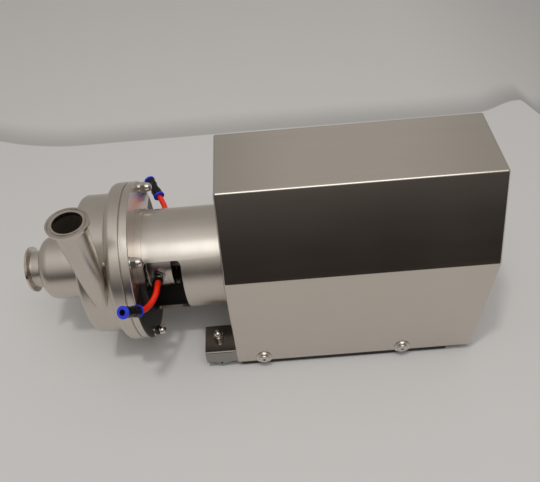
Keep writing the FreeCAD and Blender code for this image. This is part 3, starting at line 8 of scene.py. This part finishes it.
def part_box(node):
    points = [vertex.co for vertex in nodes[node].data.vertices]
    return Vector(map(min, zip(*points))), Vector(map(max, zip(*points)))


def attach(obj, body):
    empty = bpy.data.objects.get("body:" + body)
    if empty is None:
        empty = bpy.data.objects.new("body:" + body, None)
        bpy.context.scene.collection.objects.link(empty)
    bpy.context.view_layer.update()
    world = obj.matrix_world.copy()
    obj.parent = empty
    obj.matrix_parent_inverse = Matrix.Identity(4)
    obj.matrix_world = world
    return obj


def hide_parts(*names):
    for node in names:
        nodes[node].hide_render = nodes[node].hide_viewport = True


# The looks of a stainless centrifugal pump with a shrouded motor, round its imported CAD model.
# Lengths are in metres. The pump axis runs along X, suction end low, motor end high.

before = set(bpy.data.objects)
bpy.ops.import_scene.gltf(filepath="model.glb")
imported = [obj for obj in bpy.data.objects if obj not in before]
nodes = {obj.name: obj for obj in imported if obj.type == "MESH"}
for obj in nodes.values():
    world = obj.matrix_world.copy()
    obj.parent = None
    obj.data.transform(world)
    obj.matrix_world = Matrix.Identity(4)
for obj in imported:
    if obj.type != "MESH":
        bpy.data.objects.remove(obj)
scene = bpy.context.scene
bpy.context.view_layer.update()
axisHeight = sum(paintedCornerShade.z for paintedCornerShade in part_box("pump_shaft")) / 2


class Wire:
    # One socket of a node tree, so that shader maths reads as plain arithmetic.

    def __init__(self, tree, socket=None):
        self.tree = tree
        self.socket = socket

    def node(self, kind, settings=None, sockets=None, out=0):
        made = self.tree.nodes.new(kind)
        for name, value in (settings or {}).items():
            setattr(made, name, value)
        for name, value in (sockets or {}).items():
            if isinstance(value, Wire):
                self.tree.links.new(value.socket, made.inputs[name])
            else:
                made.inputs[name].default_value = value
        return Wire(self.tree, made.outputs[out] if made.outputs else None)

    def maths(self, operation, *values):
        return self.node("ShaderNodeMath", {"operation": operation}, dict(enumerate(values)))

    def __add__(self, other):
        return self.maths("ADD", self, other)

    def __radd__(self, other):
        return self.maths("ADD", other, self)

    def __sub__(self, other):
        return self.maths("SUBTRACT", self, other)

    def __rsub__(self, other):
        return self.maths("SUBTRACT", other, self)

    def __mul__(self, other):
        return self.maths("MULTIPLY", self, other)

    def __rmul__(self, other):
        return self.maths("MULTIPLY", other, self)

    def __pow__(self, other):
        return self.maths("POWER", self, other)

    def mix(self, low, high):
        return self.node("ShaderNodeMix", {"data_type": "RGBA"}, {0: self, 6: low, 7: high}, 2)

    def fade(self, low, high):
        return self.node("ShaderNodeMapRange", {"interpolation_type": "SMOOTHSTEP"}, {
            "Value": self, "From Min": low, "From Max": high})

    def grain(self, scale, detail):
        return self.node("ShaderNodeTexNoise", {}, {"Vector": self, "Scale": scale, "Detail": detail})

    def stretch(self, x, y, z):
        return self.node("ShaderNodeVectorMath", {"operation": "MULTIPLY"}, {0: self, 1: (x, y, z)})

    def split(self):
        parts = self.node("ShaderNodeSeparateXYZ", {}, {0: self})
        return [Wire(self.tree, socket) for socket in parts.socket.node.outputs]

    def relief(self, depth, strength, under=None):
        sockets = {"Height": self, "Distance": depth, "Strength": strength}
        if under:
            sockets["Normal"] = under
        return self.node("ShaderNodeBump", {}, sockets)


def colour(red, green, blue):
    return (red, green, blue, 1)


def newFinish(name, looks):
    material = bpy.data.materials.new(name)
    material.use_nodes = True
    tree = material.node_tree
    tree.nodes.clear()
    start = Wire(tree)
    place = start.node("ShaderNodeTexCoord", out="Object")
    shader = start.node("ShaderNodeBsdfPrincipled", {}, looks(start, place))
    start.node("ShaderNodeOutputMaterial", {}, {"Surface": shader})
    return material


# The camera looks down on the pump from the front, at the photograph's angle.

cameraValues = {"place": (0.0295, -0.5696, 0.7186), "pitch": 52.2, "turn": 1.1, "roll": 5.4,
                "lens": 38.41, "shiftUp": 0.1315}


def makeCamera(values):
    data = bpy.data.cameras.new("camera")
    data.lens = values["lens"]
    data.shift_y = values["shiftUp"]
    pitch = math.radians(values["pitch"])
    roll = math.radians(values["roll"])
    turn = Matrix.Rotation(math.radians(values["turn"]), 3, "Z")
    level = turn @ Vector((1, 0, 0))
    ahead = turn @ Vector((0, math.cos(pitch), -math.sin(pitch)))
    down = ahead.cross(level)
    right = math.cos(roll) * level + math.sin(roll) * down
    up = math.sin(roll) * level - math.cos(roll) * down
    camera = bpy.data.objects.new("camera", data)
    camera.matrix_world = Matrix((right, up, -ahead)).transposed().to_4x4()
    camera.location = values["place"]
    scene.collection.objects.link(camera)
    scene.camera = camera


makeCamera(cameraValues)

# Flush tubes: one smooth line each, from the fitting to the push-in union.

tubeValues = {
    "diameter": 0.008,
    "front": [(-0.1262, -0.0484, 0.1390), (-0.1262, -0.0615, 0.1424), (-0.1267, -0.0751, 0.1418),
              (-0.1310, -0.0881, 0.1409), (-0.1359, -0.1001, 0.1437), (-0.1405, -0.1102, 0.1500),
              (-0.1443, -0.1175, 0.1588)],
    "rear": [(-0.1262, 0.0484, 0.1390), (-0.1262, 0.0603, 0.1421), (-0.1226, 0.0718, 0.1454),
             (-0.1228, 0.0830, 0.1483), (-0.1268, 0.0933, 0.1513), (-0.1325, 0.1043, 0.1540)],
}


def redTube(start, place):
    haze = place.grain(60, 3)
    scuff = place.grain(900, 2)
    return {
        "Base Color": haze.mix(colour(0.96, 0.014, 0.004), colour(1.0, 0.032, 0.008)),
        "Roughness": 0.22 + 0.12 * haze,
        "Normal": scuff.relief(0.00003, 0.5),
        "Subsurface Weight": 0.15,
        "Subsurface Radius": (1.0, 0.1, 0.05),
        "Subsurface Scale": 0.002,
        "Coat Weight": 0.3,
        "Coat Roughness": 0.15,
    }


def makeTube(side, values, finish):
    data = bpy.data.curves.new("flushTube_" + side, "CURVE")
    data.dimensions = "3D"
    data.resolution_u = 16
    data.bevel_depth = values["diameter"] / 2
    data.bevel_resolution = 8
    data.use_fill_caps = True
    spline = data.splines.new("NURBS")
    spline.points.add(len(values[side]) - 1)
    for point, place in zip(spline.points, values[side]):
        point.co = (*place, 1)
    spline.order_u = 3
    spline.use_endpoint_u = True
    data.materials.append(finish)
    tube = bpy.data.objects.new("flushTube_" + side, data)
    scene.collection.objects.link(tube)
    bpy.context.view_layer.update()
    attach(tube, "frame")
    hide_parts("flush_tube_" + side)


tubeFinish = newFinish("redTube", redTube)
for side in ("front", "rear"):
    makeTube(side, tubeValues, tubeFinish)

# Turned pieces of the looks: screws, cup washers, fittings and linings all come from this.

latheValues = {"around": 48, "sharp": 35}


def lathe(name, profile, axis, places, finish, hollow=False, body="frame"):
    # Turns each (radius, height) pair round the axis. A third value makes that ring a hexagon.
    # A hollow piece joins its last ring to its first, and any other is capped.
    around = latheValues["around"]
    mesh = bpy.data.meshes.new(name)
    shape = bmesh.new()
    stand = Vector(axis).to_track_quat("Z", "Y").to_matrix()
    for place in places:
        rings = []
        for radius, height, *sides in profile:
            ring = []
            for step in range(around):
                angle = 2 * math.pi * step / around
                reach = radius
                if sides:
                    reach = radius / math.cos((angle + math.pi / 6) % (math.pi / 3) - math.pi / 6)
                spot = Vector((reach * math.cos(angle), reach * math.sin(angle), height))
                ring.append(shape.verts.new(Vector(place) + stand @ spot))
            rings.append(ring)
        after = rings[1:] + rings[:1] if hollow else rings[1:]
        for low, high in zip(rings, after):
            for step in range(around):
                follow = (step + 1) % around
                shape.faces.new((low[step], low[follow], high[follow], high[step]))
        if not hollow:
            shape.faces.new(rings[0][::-1])
            shape.faces.new(rings[-1])
    for face in shape.faces:
        face.smooth = True
    shape.to_mesh(mesh)
    shape.free()
    mesh.set_sharp_from_angle(angle=math.radians(latheValues["sharp"]))
    mesh.materials.append(finish)
    piece = bpy.data.objects.new(name, mesh)
    scene.collection.objects.link(piece)
    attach(piece, body)
    return piece


steelTones = {
    "light": colour(0.68, 0.625, 0.565),
    "dark": colour(0.60, 0.545, 0.485),
    "bright": colour(0.74, 0.71, 0.67),
    "shaded": colour(0.050, 0.044, 0.040),
}

casingValues = {"upperRim": 0.2800, "endRim": -0.3060, "blend": 0.001}


def blastedSteel(start, place):
    # Satin welded casing with faint clouds; both clamp rims are polished.
    x, _, z = place.split()
    grit = place.grain(2600, 2)
    clouds = place.grain(26, 3)
    smears = place.stretch(1, 1, 0.3).grain(90, 3)
    upper, end, blend = casingValues["upperRim"], casingValues["endRim"], casingValues["blend"]
    rims = z.fade(upper - blend, upper) + x.fade(end + blend, end)
    nicks = place.grain(420, 2)
    return {
        "Base Color": clouds.mix(steelTones["dark"], steelTones["light"]),
        "Metallic": 1.0,
        "Roughness": (0.250 + 0.09 * clouds + 0.05 * smears) * (1 - 0.75 * rims),
        "Normal": (nicks * rims).relief(0.0006, 0.5, grit.relief(0.00005, 0.25)),
    }


lanternValues = {"flangeRear": -0.1476, "bore": 0.0663, "ringFront": -0.0335, "window": -0.1392,
                 "paintedReflectionFront": -0.1495, "paintedReflectionRim": 0.1160, "paintedReflectionTop": 0.030, "paintedReflectionFade": 0.005,
                 "paintedReflectionShare": 0.95, "blend": 0.0004, "frontBlend": 0.0005, "boreBlend": (0.0006, 0.0001)}


def turnedSteel(start, place):
    # Turned about the pump axis, so the lines run round it. The flange is polished and the bore has painted
    # shade.
    # A painted dark reflection lies on the lower part of the flange's rear face, the same on both sides.
    x, y, z = place.split()
    height = z - axisHeight
    radius = (y * y + height * height) ** 0.5
    turned = start.node("ShaderNodeCombineXYZ", {}, {0: x, 1: radius})
    lines = turned.grain(2400, 2)
    bands = turned.grain(160, 2)
    wide = turned.grain(36, 2)
    clouds = place.grain(25, 3)
    blend, bore, ring = lanternValues["blend"], lanternValues["bore"], lanternValues["ringFront"]
    flange = x.fade(lanternValues["flangeRear"] + blend, lanternValues["flangeRear"])
    outer, inner = lanternValues["boreBlend"]
    # Painted shade: the lantern's bore is darkened towards the shaded tone.
    paintedShade = radius.fade(bore + outer, bore + inner) * (1 - x.fade(ring, ring + blend))
    rim, top, front = lanternValues["paintedReflectionRim"], lanternValues["paintedReflectionTop"], lanternValues["paintedReflectionFront"]
    sill = x.fade(lanternValues["window"] + blend, lanternValues["window"])
    # Painted dark reflection on the lower part of the flange's rear face.
    paintedRearReflection = (sill * radius.fade(rim + 2 * blend, rim)
            * x.fade(front, front + lanternValues["frontBlend"])
            * height.fade(top, top - lanternValues["paintedReflectionFade"]))
    paintedShade = paintedShade.maths("MAXIMUM", paintedShade, paintedRearReflection * lanternValues["paintedReflectionShare"])
    skin = (clouds * 0.6 + wide * 0.4).mix(steelTones["dark"], steelTones["light"])
    return {
        "Base Color": paintedShade.mix(skin, steelTones["shaded"]),
        "Metallic": 1.0,
        "Roughness": (0.24 + 0.08 * bands + 0.08 * clouds) * (1 - 0.20 * flange) + 0.20 * paintedShade,
        "Normal": lines.relief(0.00005, 0.28),
    }


def paintedShadeSteel(start, place):
    # Pieces deep in the lantern: steel with painted shade, as dark as they look in the photograph.
    clouds = place.grain(60, 3)
    lines = place.stretch(1, 0.05, 0.05).grain(2000, 2)
    return {
        "Base Color": clouds.mix(colour(0.10, 0.085, 0.078), colour(0.17, 0.145, 0.130)),
        "Metallic": 1.0,
        "Roughness": 0.24 + 0.14 * clouds,
        "Normal": lines.relief(0.00004, 0.3),
    }


def paintedShadeWarmSteel(start, place):
    # The seal housing: turned steel, darker than the lantern by painted shade, and warm from a painted
    # reflection of the red tube.
    clouds = place.grain(45, 3)
    lines = place.stretch(1, 0.05, 0.05).grain(1800, 2)
    return {
        "Base Color": clouds.mix(colour(0.52, 0.46, 0.42), colour(0.60, 0.54, 0.49)),
        "Metallic": 1.0,
        "Roughness": 0.18 + 0.12 * clouds,
        "Normal": lines.relief(0.00005, 0.3),
    }


def brushedSheet(start, place):
    # Rolled sheet with a faint long grain along the machine.
    lines = place.stretch(0.010, 1, 1).grain(2600, 3)
    streaks = place.stretch(0.05, 1, 1).grain(110, 3)
    clouds = place.grain(7, 3)
    return {
        "Base Color": (streaks * 0.35 + clouds * 0.65).mix(steelTones["dark"], steelTones["light"]),
        "Metallic": 1.0,
        "Roughness": 0.120 + 0.035 * streaks + 0.06 * clouds,
        "Normal": lines.relief(0.00002, 0.10),
    }


def polishedSteel(start, place):
    clouds = place.grain(120, 3)
    nicks = place.grain(1800, 2)
    return {
        "Base Color": clouds.mix(steelTones["light"], steelTones["bright"]),
        "Metallic": 1.0,
        "Roughness": 0.10 + 0.10 * clouds,
        "Normal": nicks.relief(0.00003, 0.2),
    }


def fittingSteel(start, place):
    clouds = place.grain(300, 3)
    return {
        "Base Color": clouds.mix(colour(0.40, 0.38, 0.35), colour(0.62, 0.60, 0.57)),
        "Metallic": 1.0,
        "Roughness": 0.12 + 0.10 * clouds,
        "Normal": clouds.relief(0.00005, 0.2),
    }


railValues = {"top": 0.0355, "blend": 0.0007}


def mirrorSheet(start, place):
    # Bright folded sheet, darker on its tops by a painted dark reflection.
    streaks = place.stretch(0.08, 1, 1).grain(300, 3)
    z = place.split()[2]
    # Painted dark reflection on the sheet's tops.
    paintedTopReflection = z.fade(railValues["top"], railValues["top"] + railValues["blend"])
    skin = streaks.mix(colour(0.30, 0.285, 0.27), colour(0.38, 0.36, 0.34))
    return {
        "Base Color": paintedTopReflection.mix(skin, colour(0.17, 0.155, 0.140)),
        "Metallic": 1.0,
        "Roughness": 0.05 + 0.05 * streaks,
        "Normal": streaks.relief(0.00002, 0.15),
    }


def castSteel(start, place):
    skin = place.grain(900, 4)
    clouds = place.grain(40, 3)
    return {
        "Base Color": clouds.mix(colour(0.44, 0.41, 0.37), colour(0.56, 0.52, 0.47)),
        "Metallic": 1.0,
        "Roughness": 0.38 + 0.14 * clouds,
        "Normal": skin.relief(0.0002, 0.4),
    }


def motorPaint(start, place):
    skin = place.grain(700, 4)
    clouds = place.grain(18, 3)
    return {
        "Base Color": clouds.mix(colour(0.20, 0.215, 0.225), colour(0.26, 0.275, 0.285)),
        "Roughness": 0.42 + 0.15 * clouds,
        "Normal": skin.relief(0.0002, 0.3),
    }


coreValues = {"sheetsPerMetre": 2000}


def laminations(start, place):
    x = place.split()[0]
    edges = x.maths("PINGPONG", x * coreValues["sheetsPerMetre"], 0.5)
    clouds = place.grain(60, 3)
    return {
        "Base Color": clouds.mix(colour(0.20, 0.19, 0.18), colour(0.30, 0.28, 0.26)),
        "Metallic": 0.9,
        "Roughness": 0.45 + 0.15 * clouds,
        "Normal": edges.relief(0.0001, 0.4),
    }


def copperWire(start, place):
    turns = place.grain(700, 1)
    return {
        "Base Color": turns.mix(colour(0.36, 0.09, 0.03), colour(0.62, 0.21, 0.08)),
        "Metallic": 0.7,
        "Roughness": 0.30 + 0.15 * turns,
        "Coat Weight": 0.6,
        "Normal": turns.relief(0.0004, 0.6),
    }


def bearingSteel(start, place):
    clouds = place.grain(90, 3)
    return {
        "Base Color": clouds.mix(colour(0.50, 0.50, 0.50), colour(0.62, 0.62, 0.61)),
        "Metallic": 1.0,
        "Roughness": 0.14 + 0.10 * clouds,
    }


def carbonFace(start, place):
    grit = place.grain(3000, 2)
    return {
        "Base Color": grit.mix(colour(0.012, 0.012, 0.013), colour(0.030, 0.030, 0.032)),
        "Roughness": 0.28 + 0.12 * grit,
    }


def ceramicFace(start, place):
    grit = place.grain(2200, 2)
    return {
        "Base Color": grit.mix(colour(0.70, 0.66, 0.58), colour(0.78, 0.75, 0.68)),
        "Roughness": 0.22 + 0.10 * grit,
    }


def blackRubber(start, place):
    skin = place.grain(1500, 3)
    dust = place.grain(70, 4)
    return {
        "Base Color": dust.mix(colour(0.010, 0.010, 0.010), colour(0.035, 0.034, 0.033)),
        "Roughness": 0.60 + 0.20 * dust,
        "Normal": skin.relief(0.0001, 0.5),
    }


def blueCollar(start, place):
    haze = place.grain(400, 2)
    return {
        "Base Color": haze.mix(colour(0.014, 0.030, 0.62), colour(0.024, 0.048, 0.80)),
        "Roughness": 0.24 + 0.12 * haze,
        "Coat Weight": 0.2,
    }


def blackPlastic(start, place):
    skin = place.grain(1800, 2)
    return {
        "Base Color": skin.mix(colour(0.004, 0.004, 0.005), colour(0.008, 0.008, 0.009)),
        "Roughness": 0.20 + 0.12 * skin,
        "Specular IOR Level": 0.3,
        "Normal": skin.relief(0.00004, 0.3),
    }


wornBy = {
    blastedSteel: ["volute_casing"],
    turnedSteel: ["lantern"],
    paintedShadeSteel: ["back_plate", "pump_shaft", "shaft_clamp_ring", "seal_screws", "lantern_screws"],
    paintedShadeWarmSteel: ["seal_housing", "seal_cover"],
    fittingSteel: ["flush_fitting_front", "flush_fitting_rear"],
    brushedSheet: ["shroud"],
    mirrorSheet: ["foot_rail_front", "foot_rail_rear"],
    polishedSteel: ["flange_studs", "flange_washers", "seal_spring", "impeller_nut",
                    "foot_studs", "acorn_nuts", "motor_foot_bolts", "shroud_screws",
                    "cup_washers"],
    castSteel: ["impeller"],
    motorPaint: ["motor_front_shield", "stator_housing", "motor_rear_shield", "fan_cover",
                 "terminal_box", "terminal_box_lid"],
    laminations: ["stator_core", "rotor_cage"],
    copperWire: ["stator_windings"],
    bearingSteel: ["motor_shaft", "impeller_key", "shaft_key", "front_outer_race",
                   "rear_outer_race", "front_inner_race", "rear_inner_race", "front_ball_cage",
                   "rear_ball_cage"],
    carbonFace: ["inner_seal_ring", "outer_seal_ring"],
    ceramicFace: ["inner_seal_seat", "outer_seal_seat"],
    blackRubber: ["casing_gasket", "rubber_feet", "cable_grommet"],
    blueCollar: ["release_collar_front_inner", "release_collar_front_outer",
                 "release_collar_rear_inner", "release_collar_rear_outer"],
    blackPlastic: ["union_body_front", "union_body_rear", "cooling_fan", "terminal_block",
                   "cable_gland"],
    redTube: ["flush_tube_front", "flush_tube_rear"],
}


def dress(wearers):
    finishes = {}
    for looks, names in wearers.items():
        finish = tubeFinish if looks is redTube else newFinish(looks.__name__, looks)
        finishes[looks.__name__] = finish
        for name in names:
            data = nodes[name].data
            data.materials.clear()
            data.materials.append(finish)
    bare = sorted(set(nodes) - {name for names in wearers.values() for name in names})
    print("finishes:", len(finishes), "bare nodes:", bare)
    return finishes


finishes = dress(wornBy)

# Pan-head screws with a hexagon recess, on cup washers with a raised edge.

screwValues = {"cupRadius": 0.0117, "cupSheet": 0.0009, "cupEdge": 0.0019, "headRadius": 0.0073,
               "headLength": 0.0043, "headRound": 0.0018, "socketFlats": 0.0022, "socketDepth": 0.0020,
               "shankRadius": 0.0040, "shankLength": 0.014, "slack": 0.0003, "stand": 0.0022}


def makeShroudScrews(values, finish):
    low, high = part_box("cup_washers")
    middle = (low.z + high.z) / 2
    spots = [low.x + values["cupRadius"], high.x - values["cupRadius"]]
    sheet = values["cupSheet"]
    reach = values["cupRadius"]
    hole = values["shankRadius"] + values["slack"]
    cup = [(hole, 0), (reach, 0), (reach, values["cupEdge"] * 0.6),
           (reach - 0.0004, values["cupEdge"]), (reach - 0.0010, values["cupEdge"]),
           (reach - 0.0019, sheet + 0.0002), (reach - 0.0028, sheet), (hole, sheet)]
    wide = values["headRadius"]
    curve = values["headRound"]
    top = sheet + values["headLength"]
    head = [(values["shankRadius"], -values["shankLength"]), (values["shankRadius"], sheet), (wide, sheet),
            (wide, top - curve)]
    for turn in (25, 50, 75):
        angle = math.radians(turn)
        head.append((wide - curve * (1 - math.cos(angle)), top - curve * (1 - math.sin(angle))))
    socket = values["socketFlats"]
    head += [(wide - curve - 0.0003, top), (socket + 0.0008, top + 0.0002),
             (socket + 0.0003, top + 0.0001, 6), (socket, top - 0.0002, 6),
             (socket, top - values["socketDepth"], 6)]
    for side, wall in (("front", low.y + values["stand"]), ("rear", high.y - values["stand"])):
        axis = (0, -1 if side == "front" else 1, 0)
        places = [(spot, wall, middle) for spot in spots]
        cups = lathe("cupWashers_" + side, cup, axis, places, finish, hollow=True)
        screws = lathe("panScrews_" + side, head, axis, places, finish)
        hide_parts("cup_washers")
        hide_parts("shroud_screws")
    print("shroud screws stand at", [round(spot, 4) for spot in spots])


makeShroudScrews(screwValues, finishes["polishedSteel"])

# Flush fittings: a hexagon and a bright ring, with a black release cup round the red tube.

fittingValues = {
    "seat": 0.0397, "tilt": 14.5,
    "steel": [(0.0042, -0.0060), (0.0055, -0.0060), (0.0055, 0.0000), (0.0068, 0.0000), (0.0072, 0.0004, 6),
              (0.0075, 0.0010, 6), (0.0075, 0.0052, 6), (0.0072, 0.0058, 6), (0.0065, 0.0060),
              (0.0065, 0.0066), (0.0070, 0.0070), (0.0070, 0.0138), (0.0067, 0.0142), (0.0061, 0.0142),
              (0.0058, 0.0139), (0.0058, 0.0090), (0.0042, 0.0090)],
    "ring": [(0.0042, 0.0091), (0.0057, 0.0091), (0.0057, 0.0143), (0.0066, 0.0147), (0.0066, 0.0180),
             (0.0060, 0.0190), (0.0048, 0.0193), (0.0042, 0.0188)],
}


def makeFittings(values, steel, plastic):
    tilt = math.radians(values["tilt"])
    for side, way in (("front", -1), ("rear", 1)):
        axis = Vector((0, way * math.cos(tilt), math.sin(tilt)))
        seat = Vector((tubeValues[side][0][0], 0, axisHeight)) + values["seat"] * axis
        fitting = lathe("flushFitting_" + side, values["steel"], axis, [seat], steel, hollow=True)
        ring = lathe("fittingRing_" + side, values["ring"], axis, [seat], plastic, hollow=True)
        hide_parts("flush_fitting_" + side)


makeFittings(fittingValues, finishes["fittingSteel"], finishes["blackPlastic"])

# A black cup lines each outer blue collar and moves with it: a dark lining that paints the shade in the
# collar's bore.

shadeLiningValues = {"outer": 0.0040, "inner": 0.0036, "deep": 0.0078, "floor": 0.0070, "sunk": 0.0004}


def middleOf(name):
    spots = [vertex.co for vertex in nodes[name].data.vertices]
    return sum(spots, Vector()) / len(spots)


def makeShadeLinings(values, finish):
    profile = [(values["outer"], -values["deep"]), (values["outer"], -values["sunk"]),
               (values["inner"], -values["sunk"]), (values["inner"], -values["floor"])]
    for side in ("front", "rear"):
        collar = "release_collar_" + side + "_outer"
        middle = middleOf(collar)
        axis = (middle - middleOf("union_body_" + side)).normalized()
        reach = max((vertex.co - middle).dot(axis) for vertex in nodes[collar].data.vertices)
        shadeCup = lathe("shadeLining_" + side, profile, axis, [middle + reach * axis], finish,
                       body="collar_" + side + "_outer")


makeShadeLinings(shadeLiningValues, finishes["blackPlastic"])

# A thin dark rubber strip is set into each rail's lower edge, under the shroud: a dark sheet that paints
# the shade under the shroud's edge.

shadeStripValues = {"across": 0.1066, "sheet": 0.0012, "top": 0.0133, "bottom": 0.0022, "start": -0.027,
               "end": 0.272, "bead": 0.0016, "steps": 24}


def makeShadeStrips(values, finish):
    across, sheet, bead = values["across"], values["sheet"], values["bead"]
    outline = [(across, values["top"]), (across - sheet, values["top"]),
               (across - sheet, values["bottom"] + bead), (across - bead, values["bottom"]),
               (across, values["bottom"]), (across + bead * 0.3, values["bottom"] + bead * 0.5),
               (across, values["bottom"] + bead)]
    for side, way in (("front", -1), ("rear", 1)):
        mesh = bpy.data.meshes.new("paintedShadeStrip_" + side)
        shape = bmesh.new()
        steps = values["steps"]
        length = values["end"] - values["start"]
        stations = [values["start"] + length * step / steps for step in range(steps + 1)]
        rings = [[shape.verts.new((x, way * y, z)) for y, z in outline] for x in stations]
        for low, high in zip(rings, rings[1:]):
            for step in range(len(outline)):
                follow = (step + 1) % len(outline)
                shape.faces.new((low[step], low[follow], high[follow], high[step]))
        shape.faces.new(rings[0])
        shape.faces.new(rings[-1][::-1])
        bmesh.ops.recalc_face_normals(shape, faces=shape.faces)
        shape.to_mesh(mesh)
        shape.free()
        mesh.materials.append(finish)
        shadeSheet = bpy.data.objects.new("paintedShadeStrip_" + side, mesh)
        scene.collection.objects.link(shadeSheet)
        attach(shadeSheet, "frame")


makeShadeStrips(shadeStripValues, finishes["blackRubber"])
print("fittings, linings and strips are made")

# The room: a pale floor with a hem and its shade painted across it, a wide lamp, a small one, and a world
# dim in front.

roomValues = {
    "table": colour(0.665, 0.652, 0.643), "wall": colour(0.655, 0.643, 0.628), "reach": 4.0,
    "hem": 0.467, "hemCurve": 1.14, "hemBend": 0.35, "hemRise": 0.030, "hemRiseAt": (0.48, 0.57),
    "hemDrop": 0.060, "hemDropAt": (0.575, 0.605), "hemWave": 0.008, "hemEdge": 0.004,
    "hemShade": 0.30, "hemShadeWidth": 0.085, "cornerShade": 0.20, "cornerAt": (0.35, 0.80),
    "wallShade": colour(0.03, 0.025, 0.02),
    "pale": colour(0.54, 0.525, 0.50), "ceiling": colour(0.73, 0.72, 0.70),
    "dim": colour(0.021, 0.017, 0.014), "aheadAt": (0.10, 0.70), "lowTop": (0.10, 0.75),
    "lowFoot": (-0.6, -0.2), "ceilingAt": (0.88, 0.97), "sideShare": 0.75, "rightAt": (0.22, 0.40),
    "leftAt": (0.05, -0.12), "sideShade": 0.27, "bandShade": 0.14, "bandAt": (0.80, 0.66),
    "aim": (0, 0, 0.15),
    "wideLamp": {"place": (0.20, -0.78, 1.95), "size": (1.6, 1.05), "power": 8.4,
                 "colour": (0.97, 0.985, 1.0)},
    "smallLamp": {"place": (-0.22, -0.43, 1.95), "size": (0.15, 0.15), "power": 7.4,
                  "colour": (1.0, 0.985, 0.965)},
}


def makeFloor(values):
    def looks(start, place):
        x, y, _ = place.split()
        folds = place.grain(3.2, 3)
        weave = place.grain(1400, 2)
        left = x.maths("MAXIMUM", 0 - x - values["hemBend"], 0.0)
        hem = (values["hem"] + values["hemCurve"] * (left * left)
               + values["hemRise"] * x.fade(*values["hemRiseAt"])
               - values["hemDrop"] * x.fade(*values["hemDropAt"]) + values["hemWave"] * (folds - 0.5))
        behind = y - hem
        beyond = behind.fade(0.0, values["hemEdge"])
        # Painted shade: a dark band just behind the hem, and a darker far right corner.
        shade = 1 - behind.fade(0.0, values["hemShadeWidth"])
        paintedCornerShade = values["cornerShade"] * x.fade(*values["cornerAt"])
        wallTone = (values["hemShade"] * shade + paintedCornerShade).mix(values["wall"], values["wallShade"])
        return {"Base Color": beyond.mix(values["table"], wallTone), "Roughness": 0.9 - 0.05 * weave,
                "Specular IOR Level": 0.2, "Normal": folds.relief(0.02, 0.25)}
    mesh = bpy.data.meshes.new("floor")
    shape = bmesh.new()
    bmesh.ops.create_grid(shape, x_segments=8, y_segments=8, size=values["reach"])
    shape.to_mesh(mesh)
    shape.free()
    mesh.materials.append(newFinish("tableCloth", looks))
    floor = bpy.data.objects.new("floor", mesh)
    scene.collection.objects.link(floor)


def makeLamp(name, values, aim):
    data = bpy.data.lights.new(name, "AREA")
    data.shape = "RECTANGLE"
    data.size, data.size_y = values["size"]
    data.energy = values["power"]
    data.color = values["colour"]
    lamp = bpy.data.objects.new(name, data)
    lamp.location = values["place"]
    way = Vector(aim) - lamp.location
    lamp.rotation_euler = way.to_track_quat("-Z", "Y").to_euler()
    scene.collection.objects.link(lamp)
    return lamp


def makeWorld(values):
    world = bpy.data.worlds.new("room")
    scene.world = world
    world.use_nodes = True
    tree = world.node_tree
    tree.nodes.clear()
    start = Wire(tree)
    x, y, z = start.node("ShaderNodeTexCoord", out="Generated").split()
    ahead = (0 - y).fade(*values["aheadAt"])
    low = (1 - z.fade(*values["lowTop"])) * z.fade(*values["lowFoot"])
    sides = (values["sideShare"] * x.fade(*values["rightAt"])
             + values["sideShare"] * x.fade(*values["leftAt"]))
    band = values["bandShade"] * z.fade(*values["bandAt"])
    deeper = (values["sideShade"] * sides + band) * (1 - ahead)
    pale = deeper.mix(values["pale"], colour(0, 0, 0))
    above = z.fade(*values["ceilingAt"]).mix(pale, values["ceiling"])
    tone = (ahead * low).mix(above, values["dim"])
    light = start.node("ShaderNodeBackground", {}, {"Color": tone, "Strength": 1.0})
    start.node("ShaderNodeOutputWorld", {}, {"Surface": light})


makeFloor(roomValues)
makeLamp("wideLamp", roomValues["wideLamp"], roomValues["aim"])
makeLamp("smallLamp", roomValues["smallLamp"], roomValues["aim"]).visible_glossy = False
makeWorld(roomValues)
scene.view_settings.view_transform = "Standard"
print("room is lit")
